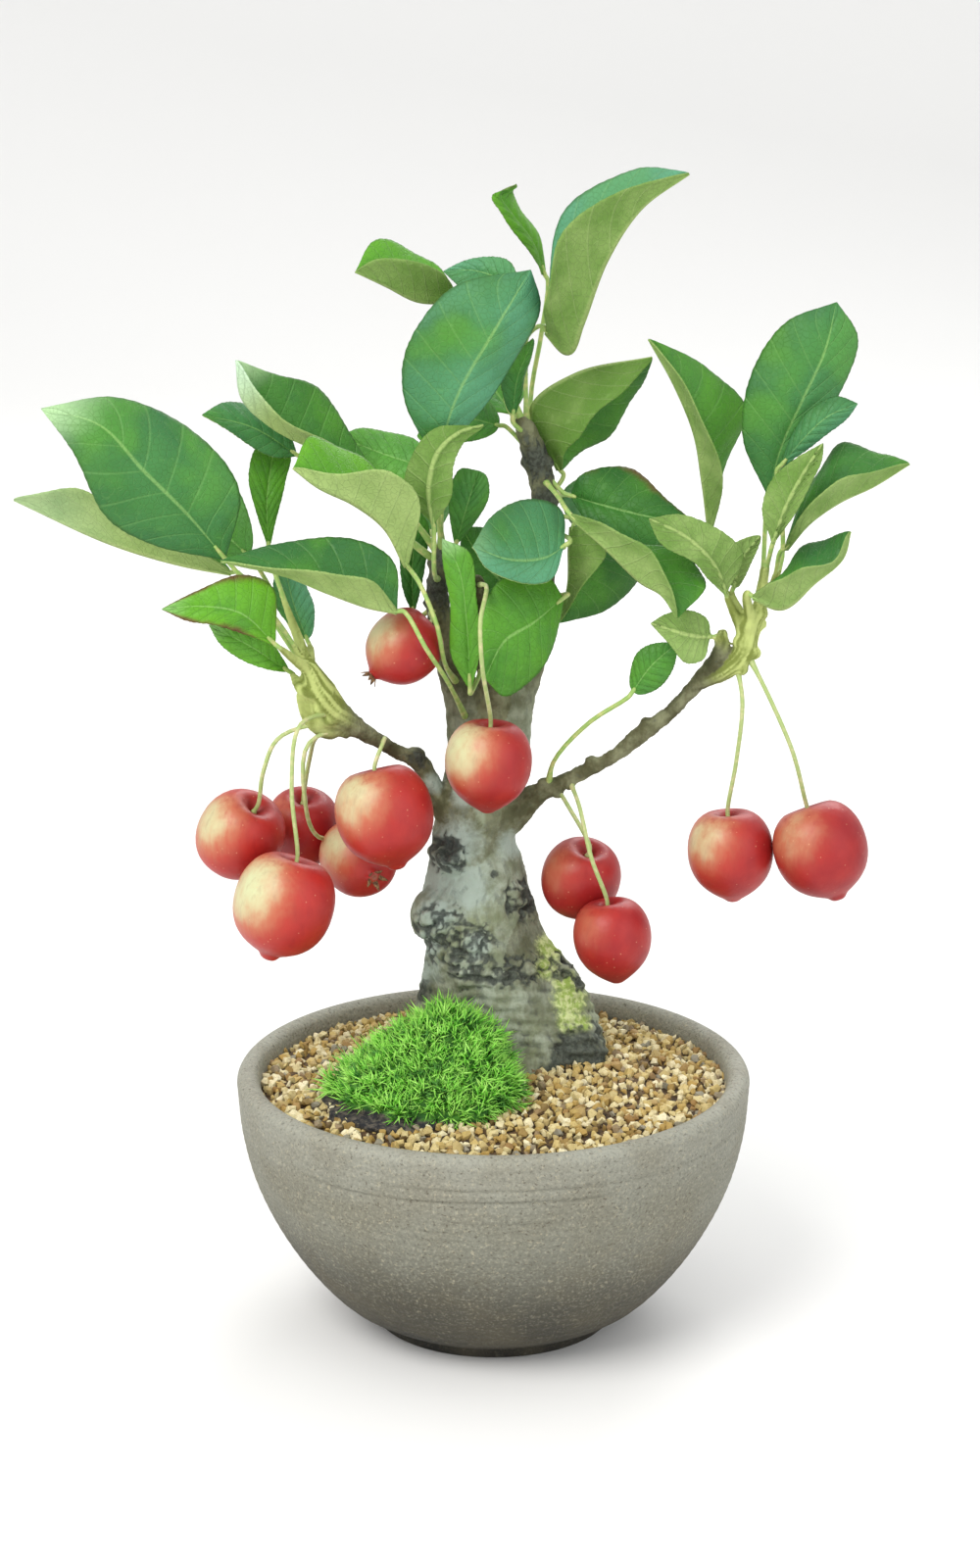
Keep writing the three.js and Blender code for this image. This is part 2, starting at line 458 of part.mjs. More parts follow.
// Soil and gravel fill the bowl round the foot of the tree
function soilSolid(hollow) {
  const bottom = floorTop + 2 * clearance + barThickness;
  const outline = [[0, bottom], [insideRadius(bottom + 1), bottom]];
  for (let height = bottom + soilSteps; height < soilTop; height += soilSteps) {
    outline.push([insideRadius(height), height]);
  }
  outline.push([insideRadius(soilTop), soilTop], [0, soilTop]);
  return solidOf(turned(outline, bowlSides)).subtract(hollow);
}

function gravelHeight(radius) {
  const share = radius / insideRadius(gravelEdge);
  return gravelEdge + gravelDome * (1 - share * share);
}

function gravelSolid(hollow) {
  const edge = insideRadius(soilTop + clearance);
  const outline = [[0, soilTop + clearance], [edge, soilTop + clearance]];
  for (let share = 1; share >= 0; share -= 0.25) {
    const radius = share * insideRadius(gravelEdge);
    outline.push([radius, gravelHeight(radius)]);
  }
  return solidOf(turned(outline, bowlSides)).subtract(hollow);
}

// Moss: a low mound on the gravel, against the front left of the trunk
const mossMiddle = new THREE.Vector2(-17, -19);
const mossHalf = new THREE.Vector2(22.5, 17.5);
const mossHeight = 24.5;
const mossLean = new THREE.Vector2(7, 9);
const mossSides = 18;

const mossOutline = [[0, 0], [0.92, 0], [1, 0.22], [0.83, 0.44], [0.57, 0.67], [0.31, 0.88], [0, 1]];

function mossSolid(hollow) {
  const lean = mossLean.clone().divideScalar(mossHeight);
  const shear = new THREE.Matrix4().makeShear(0, 0, 0, 0, lean.x, lean.y);
  const shape = turned(mossOutline, mossSides).scale(mossHalf.x, mossHalf.y, mossHeight);
  const mound = solidOf(shape.applyMatrix4(shear))
    .translate([mossMiddle.x, mossMiddle.y, gravelEdge]);
  const bed = [[0, soilTop]];
  for (let share = 1; share >= 0; share -= 0.25) {
    const radius = share * insideRadius(gravelEdge);
    if (share === 1) bed.push([radius, soilTop]);
    bed.push([radius, gravelHeight(radius) + clearance]);
  }
  return mound.subtract(solidOf(turned(bed, bowlSides))).subtract(hollow);
}

// Leaves: a stalk that widens into a blade folded along its rib
function bladeWidth(t) {
  return Math.pow(Math.sin(Math.PI * Math.pow(t, 0.9)), 0.72);
}

// How far an edge stands off the rib at t: it runs through three points, or swells to a single one
function edgeReach(points, rib) {
  if (!Array.isArray(points[0])) {
    const reach = place(points).sub(rib.getPoint(0.5));
    return (t) => reach.clone().multiplyScalar(bladeWidth(t));
  }
  const line = [rib.getPoint(0), ...points.map(place), rib.getPoint(1)];
  const edge = new THREE.CatmullRomCurve3(line, false, 'centripetal');
  return (t) => edge.getPoint(t).sub(rib.getPoint(t));
}

function leafGeometry(leaf) {
  const rib = new THREE.CatmullRomCurve3(leaf.rib.map(place), false, 'centripetal');
  const reaches = { '-1': edgeReach(leaf.left, rib), 1: edgeReach(leaf.right, rib) };
  const span = (t) => reaches[1](t).sub(reaches[-1](t));
  const across = span(0.5).normalize();
  const petiole = stalkCurve(leaf.limb, leaf.route ?? [], rib.getPoint(0), rib.getTangent(0));
  const steps = petioleSteps + bladeSteps;
  const geometry = new THREE.BoxGeometry(1, 1, 1, 2, steps, 1);
  const position = geometry.attributes.position;
  for (let i = 0; i < position.count; i += 1) {
    const step = Math.round((position.getY(i) + 0.5) * steps);
    const side = Math.round(position.getX(i) * 2);
    const face = position.getZ(i) * 2;
    let at;
    if (step <= petioleSteps) {
      const t = step / petioleSteps;
      const along = petiole.getTangent(t);
      const sideways = across.clone().addScaledVector(along, -across.dot(along)).normalize();
      at = petiole.getPoint(t).addScaledVector(sideways, side * petioleRadius)
        .addScaledVector(sideways.cross(along), face * petioleRadius);
    } else {
      const t = (step - petioleSteps) / bladeSteps;
      const upward = span(t).addScaledVector(across, 2).cross(rib.getTangent(t)).normalize();
      at = rib.getPoint(t).addScaledVector(upward, (face * leafThickness) / 2);
      if (side !== 0) {
        const middleReach = reaches[side](0.5).normalize();
        at.add(reaches[side](t)).addScaledVector(middleReach, leastReach);
      }
    }
    position.setXYZ(i, at.x, at.y, at.z);
  }
  return geometry;
}

// Where a stalk leaves its limb: on the bark, on the side that it grows towards
function stalkStart([limb, t], towards) {
  const curve = limbCurve(limbs[limb]);
  const at = curve.getPoint(t);
  const along = curve.getTangent(t);
  const out = towards.clone().sub(at).normalize();
  if (t < 0.98) out.addScaledVector(along, -out.dot(along)).normalize();
  return at.addScaledVector(out, radiusAlong(limbs[limb], t) + seat);
}

function stalkCurve(limb, route, end, endDirection) {
  const middle = route.map(place);
  const approach = end.clone().addScaledVector(endDirection, -stalkLead);
  const start = stalkStart(limb, middle[0] ?? approach);
  return new THREE.CatmullRomCurve3([start, ...middle, approach, end], false, 'centripetal');
}

// Apples: the outline of a fruit of radius 1 with its stalk up and a small nipple at the calyx
const appleOutline = [[0, -1.2], [0.16, -1.16], [0.32, -0.96], [0.76, -0.64], [0.99, -0.06], [0.9, 0.48],
  [0.5, 0.88], [0, 0.78]];

function appleSolid(apple) {
  const middle = place(apple.middle);
  const up = middle.clone().sub(place(apple.calyx)).normalize();
  const turn = new THREE.Quaternion().setFromUnitVectors(new THREE.Vector3(0, 0, 1), up);
  const fruit = turned(appleOutline, appleSides);
  fruit.scale(apple.radius, apple.radius, apple.radius).applyQuaternion(turn).translate(...middle);
  const end = middle.clone().addScaledVector(up, apple.radius * 0.7);
  const curve = stalkCurve(apple.limb, apple.stalk, end, up.clone().negate());
  const stalk = tube(curve, () => stalkRadius, stalkSides, stalkSteps);
  return joined([fruit, stalk]);
}

const wood = woodSolid();
const hollow = footHollow();
const bonsai = new THREE.Group();
bonsai.add(
  piece('pot', bowlGeometry(), stoneware),
  piece('drain_mesh', geometryOf(netSolid()), meshPlastic),
  piece('soil', geometryOf(soilSolid(hollow)), soilMix),
  piece('gravel', geometryOf(gravelSolid(hollow)), gravelMix),
  piece('moss', geometryOf(mossSolid(hollow)), mossGreen),
  piece('trunk', geometryOf(wood), bark),
);
for (const apple of apples) {
  bonsai.add(piece(apple.name, geometryOf(appleSolid(apple)), appleSkin));
}
for (const leaf of leaves) {
  bonsai.add(piece(leaf.name, leafGeometry(leaf), leafGreen));
}

// The part's own origin is under the middle of its box, on the surface that it stands on
const box = new THREE.Box3().setFromObject(bonsai);
const middle = box.getCenter(new THREE.Vector3());
bonsai.position.set(-middle.x, -middle.y, -box.min.z);
const part = new THREE.Group();
part.add(bonsai);

export default part;
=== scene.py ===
# A fruiting crab-apple bonsai in a round stoneware bowl, with gravel and a cushion of moss.
# Everything is in metres; the tables are in millimetres and place() turns them.

import json
import math
import random

import bmesh
import bpy
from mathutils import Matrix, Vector, kdtree, noise

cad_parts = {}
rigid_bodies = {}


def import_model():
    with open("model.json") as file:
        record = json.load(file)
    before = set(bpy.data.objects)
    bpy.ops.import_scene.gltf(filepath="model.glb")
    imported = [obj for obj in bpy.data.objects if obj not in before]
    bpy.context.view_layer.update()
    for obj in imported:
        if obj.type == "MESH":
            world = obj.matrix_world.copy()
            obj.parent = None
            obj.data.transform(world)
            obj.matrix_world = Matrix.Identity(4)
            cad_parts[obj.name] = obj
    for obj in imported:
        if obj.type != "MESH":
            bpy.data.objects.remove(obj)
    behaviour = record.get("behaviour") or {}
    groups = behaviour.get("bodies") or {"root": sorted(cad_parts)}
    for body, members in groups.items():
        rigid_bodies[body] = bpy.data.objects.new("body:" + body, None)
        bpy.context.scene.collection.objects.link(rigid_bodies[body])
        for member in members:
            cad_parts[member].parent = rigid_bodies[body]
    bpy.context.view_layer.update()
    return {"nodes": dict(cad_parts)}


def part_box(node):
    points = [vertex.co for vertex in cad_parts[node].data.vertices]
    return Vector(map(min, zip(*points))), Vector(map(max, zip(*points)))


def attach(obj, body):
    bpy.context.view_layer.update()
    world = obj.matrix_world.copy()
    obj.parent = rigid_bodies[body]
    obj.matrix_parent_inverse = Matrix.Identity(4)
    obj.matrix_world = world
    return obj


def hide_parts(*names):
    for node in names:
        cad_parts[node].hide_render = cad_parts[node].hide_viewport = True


for leftover in list(bpy.data.objects):
    bpy.data.objects.remove(leftover)

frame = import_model()
mm = 0.001
scene = bpy.context.scene
scene.view_settings.view_transform = "Standard"
print("loaded", len(frame["nodes"]), "nodes")

# The bowl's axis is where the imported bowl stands
potLow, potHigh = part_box("pot")
potAxis = Vector(((potLow.x + potHigh.x) / 2, (potLow.y + potHigh.y) / 2, 0))

# The tree is drawn in mm as seen from the front: across, up and towards the viewer, from the middle
# of the rim. The eye is this far off and looks down by this much at this point of the tree. Across
# and up say where the middle of the rim is seen from there.
eye = {
    "distance": 847.7,
    "tilt": math.radians(15.8),
    "across": 0.785,
    "up": -66.87,
    "lookedAt": (-0.785, 0, 129.9),
    "lens": 85,
    "sensor": 36,
}


# A drawn point in the scene, in metres: at its depth, and seen where it is drawn
def place(point):
    across, up, front = point[:3]
    cosTilt = math.cos(eye["tilt"])
    sinTilt = math.sin(eye["tilt"])
    x = across + eye["across"]
    y = up + eye["up"]
    reach = eye["distance"] * cosTilt
    t = (reach - front) / (reach + y * sinTilt)
    drop = y * cosTilt - eye["distance"] * sinTilt
    height = eye["lookedAt"][2] + eye["distance"] * sinTilt + t * drop
    return Vector((eye["lookedAt"][0] + t * x, -front, height)) * mm + potAxis


def placed(points):
    return [place(point) for point in points]


# A smooth line through points, from t = 0 to 1
class Line:
    leastGap = 1e-9  # keeps two points at one place from dividing by nothing
    aside = 0.004  # the direction at t is read between two places this far off

    def __init__(self, points):
        self.points = [Vector(p) for p in points]

    def at(self, t):
        last = len(self.points) - 1
        span = min(max(int(t * last), 0), last - 1)
        share = t * last - span
        p1, p2 = self.points[span], self.points[span + 1]
        p0 = self.points[span - 1] if span > 0 else 2 * p1 - p2
        p3 = self.points[span + 2] if span + 2 <= last else 2 * p2 - p1
        gaps = ((b - a).length for a, b in ((p0, p1), (p1, p2), (p2, p3)))
        d0, d1, d2 = (max(gap, self.leastGap) ** 0.5 for gap in gaps)
        m1 = (p1 - p0) / d0 - (p2 - p0) / (d0 + d1) + (p2 - p1) / d1
        m2 = (p2 - p1) / d1 - (p3 - p1) / (d1 + d2) + (p3 - p2) / d2
        m1, m2 = m1 * d1, m2 * d1
        square, cube = share * share, share ** 3
        return (p1 * (2 * cube - 3 * square + 1) + m1 * (cube - 2 * square + share)
                + p2 * (3 * square - 2 * cube) + m2 * (cube - square))

    def along(self, t):
        low, high = max(t - self.aside, 0), min(t + self.aside, 1)
        return (self.at(high) - self.at(low)).normalized()


def mix(a, b, t):
    return a + (b - a) * t


# 0 at low and 1 at high, smooth between the two; low may be the greater
def smooth(low, high, value):
    t = min(max((value - low) / (high - low), 0), 1)
    return t * t * (3 - 2 * t)


# The value at t of a row of values spread evenly from t = 0 to 1
def stepValue(values, t):
    at = min(max(t, 0), 1) * (len(values) - 1)
    low = min(int(at), len(values) - 2)
    return mix(values[low], values[low + 1], at - low)


# A level direction at an angle, or a point of a circle of radius 1 at a height
def ringPoint(angle, height=0.0):
    return Vector((math.cos(angle), math.sin(angle), height))


# 1 where the value is the middle one, falling to nearly nothing two widths away
def bell(value, middle, width):
    return math.exp(-((value - middle) / width) ** 2)


# A number for each point of a mesh, for the materials and the Geometry Nodes
def pointNumbers(data, label, values):
    data.attributes.new(label, "FLOAT", "POINT").data.foreach_set("value", values)


# Smooth or flat shading for all faces
def smoothShaded(data, smoothed=True):
    data.polygons.foreach_set("use_smooth", [smoothed] * len(data.polygons))


# A mesh object from points and faces, with a material for each face and numbers for each point
def meshPiece(name, points, faces, materials=(), faceMaterials=None, pointValues=None, uv=None):
    data = bpy.data.meshes.new(name)
    data.from_pydata([tuple(p) for p in points], [], faces)
    for finish in materials:
        data.materials.append(finish)
    if faceMaterials:
        data.polygons.foreach_set("material_index", faceMaterials)
    for label, values in (pointValues or {}).items():
        pointNumbers(data, label, values)
    if uv:
        layer = data.uv_layers.new(name="surface")
        for loop in data.loops:
            layer.data[loop.index].uv = uv[loop.vertex_index]
    smoothShaded(data)
    data.update()
    made = bpy.data.objects.new(name, data)
    scene.collection.objects.link(made)
    return made


# Faces between rings of points that follow each other
def ringFaces(first, rings, sides):
    faces = []
    for ring in range(rings):
        for side in range(sides):
            a = first + ring * sides + side
            b = first + ring * sides + (side + 1) % sides
            faces.append((a, b, b + sides, a + sides))
    return faces


# Rings of points round a line, closed at both ends, are added to the lists of points and faces.
# radiusAt gives the radius in metres at t and at an angle round the line.
def sweep(points, faces, line, radiusAt, sides, steps, start=0.0, end=1.0):
    first = len(points)
    side = None
    for step in range(steps + 1):
        t = mix(start, end, step / steps)
        along = line.along(t)
        if side is None:
            side = along.orthogonal().normalized()
        side = (side - along * side.dot(along)).normalized()
        other = along.cross(side)
        middle = line.at(t)
        for turn in range(sides):
            angle = 2 * math.pi * turn / sides
            radius = radiusAt(t, angle)
            points.append(middle + (side * math.cos(angle) + other * math.sin(angle)) * radius)
    faces += ringFaces(first, steps, sides)
    points.append(line.at(start))
    points.append(line.at(end))
    low, high = len(points) - 2, len(points) - 1
    top = first + steps * sides
    for turn in range(sides):
        after = (turn + 1) % sides
        faces.append((low, first + after, first + turn))
        faces.append((high, top + turn, top + after))


# The tree's plan, as in the part's source: each limb is a line of places across, up and to the
# front, with the radius at each
limbs = {
    "trunk": [(7, -9, -15, 18), (6, 2, -15, 17), (4, 12, -15, 15.5), (0.5, 22, -15, 15),
        (-2.5, 31, -15, 14), (-4, 38, -15, 13.6), (-4.2, 46, -14.5, 11.9), (-4.6, 54, -14, 9.8),
        (-3.4, 62, -14, 9.2), (-2, 72, -14, 8.8), (-1, 80, -14, 8.2), (-0.4, 87, -14, 6),
        (0, 92, -14, 2.6)],
    "root_right": [(8, 30, -14, 5), (14, 20, -13, 6.6), (18, 9, -12, 7.4), (21, -1, -11, 6.6),
        (23, -8, -10, 5)],
    "root_left": [(-9, 30, -16, 6), (-12, 19, -18, 5.6), (-15, 8, -19, 5.4), (-19, -1, -20, 5),
        (-21, -8, -21, 4)],
    "root_front": [(2, 12, -7, 7), (5, 2, -3, 6.5), (8, -5, 2, 5), (9, -11, 4, 4)],
    "branch_left": [(-6, 54, -12, 5.2), (-11, 61, -11, 3), (-14, 67, -9, 2.1),
        (-17.5, 72.3, -7, 2.2), (-22, 74.2, -4, 1.6), (-26, 76.6, -2, 1.7), (-31, 79.6, 1, 2.3),
        (-36, 83.2, 3, 3.4), (-39.6, 88, 5, 3.6), (-42, 93, 7, 2.2)],
    "branch_right": [(3, 59, -12, 4.6), (10, 64.5, -9, 2.5), (16, 67.4, -7, 1.8),
        (22.5, 70.6, -5, 1.7), (28, 73.6, -3, 1.6), (34, 78.5, -1, 2.1), (40, 82.8, 0, 1.7),
        (44, 87, 1, 1.6), (49, 92.4, 2, 2.1), (52, 97, 3, 2), (52.4, 101, 3, 1.4)],
    "spur_right": [(47, 90, 2, 1.6), (53, 92.8, 3, 2.1), (57, 96.4, 4, 2.6), (59, 102.5, 4, 2.2),
        (61, 108, 4, 1.6)],
    "leader_left": [(-4, 74, -13, 6.4), (-6.4, 85, -13, 4.8), (-9.6, 94, -12, 3.6),
        (-12, 104, -11, 2.9), (-12.8, 112, -10, 2.6), (-11.5, 119, -9, 1.9)],
    "leader_right": [(2, 75, -14, 6.6), (4.6, 86, -15, 5.2), (8, 96, -16, 4.1), (10, 106, -17, 3.6),
        (11, 116, -17, 3.1), (12, 126, -17, 2.9), (11.4, 135, -16, 2.9), (9.6, 142, -16, 3.1),
        (7.4, 148, -15, 2.3)],
    "twig_front": [(0, 86, -9, 3), (-2, 96, -4, 2), (-3.6, 106, 0, 1.8), (-4, 113, 3, 2.1)],
}
# Balls of wood that thicken the limbs
knots = [(-13, 37, -8, 6.5), (22.4, 71.8, -5, 1.8), (35.2, 80.2, -1, 2),
    (-17.8, 73, -7, 2.6), (-9.5, 50, -6, 4)]
# Each apple: its middle and its tip below, the limb its stalk leaves and where, and the stalk's way.
# Its look: deeper red, paler cheek with its painted highlight, length of the dry sepals, pointed rather than
# round.
appleLabels = ("red", "pale", "sepals", "point")
apples = {
    "apple_1": {"at": (-58, 55.2, -1.5), "radius": 10, "tip": (-64, 45, -6), "look": (0.3, 0.9, 0.4, 0.2),
        "limb": ("branch_left", 0.75), "stalk": [(-49, 77.5, 6), (-52.6, 70, 5)]},
    "apple_2": {"at": (-43.8, 57, -18.5), "radius": 9, "tip": (-44.4, 45.4, -23), "look": (0.6, 0.6, 0, 0.3),
        "limb": ("branch_left", 0.71), "stalk": [(-40, 78, -4), (-42, 73, -13)]},
    "apple_3": {"at": (-47.9, 39.5, 15), "radius": 11.4, "tip": (-51.5, 27, 17), "look": (0.3, 0.98, 0, 0.3),
        "limb": ("branch_left", 0.79), "stalk": [(-44.5, 80, 13), (-46.2, 66, 14)]},
    "apple_4": {"at": (-24.8, 60.1, 11), "radius": 11, "tip": (-21.5, 46, 14), "look": (0.45, 0.88, 0, 0.5),
        "limb": ("branch_left", 0.54), "stalk": [(-25, 77, 5)]},
    "apple_5": {"at": (-31, 50, -6), "radius": 8.9, "tip": (-27, 45.2, 4), "look": (0.4, 0.9, 1.5, 0.4),
        "limb": ("branch_left", 0.7), "stalk": [(-42.4, 76, 6), (-43, 62, 4), (-40.4, 55, -4)]},
    "apple_6": {"at": (-20.5, 98.4, 1), "radius": 8.4, "tip": (-28.5, 91, 4), "look": (0.6, 0.9, 1.4, 0.6),
        "limb": ("leader_left", 0.66), "stalk": [(-14.5, 106, -5)]},
    "apple_7": {"at": (-1, 71.8, 7.5), "radius": 9.8, "tip": (-1.6, 57, 8), "look": (0.55, 0.98, 0, 0.9),
        "limb": ("twig_front", 0.97), "stalk": [(-1.6, 112, 9), (-3, 104, 17), (-2.6, 94, 17)]},
    "apple_8": {"at": (20.1, 45.2, -10), "radius": 9.2, "tip": (17, 34, -15), "look": (0.6, 0.66, 0, 0.5),
        "limb": ("branch_right", 0.17), "stalk": [(17, 62, -5)]},
    "apple_9": {"at": (27.1, 31.8, 4), "radius": 9.1, "tip": (28.7, 20, 5), "look": (0.6, 0.6, 0, 1),
        "limb": ("branch_right", 0.22), "stalk": [(19.6, 62, 0), (22.4, 50, 4.6)]},
    "apple_10": {"at": (54.2, 51.4, 0), "radius": 9.9, "tip": (55, 38, 1), "look": (0.5, 0.86, 0, 0.8),
        "limb": ("spur_right", 0.4), "stalk": [(57, 86, 6), (55.6, 72, 3)]},
    "apple_11": {"at": (75.1, 52.2, 5), "radius": 10.6, "tip": (79, 41, 8), "look": (0.7, 0.74, 0, 0.5),
        "limb": ("spur_right", 0.56), "stalk": [(63.5, 86, 7), (68.6, 74, 7)]},
}
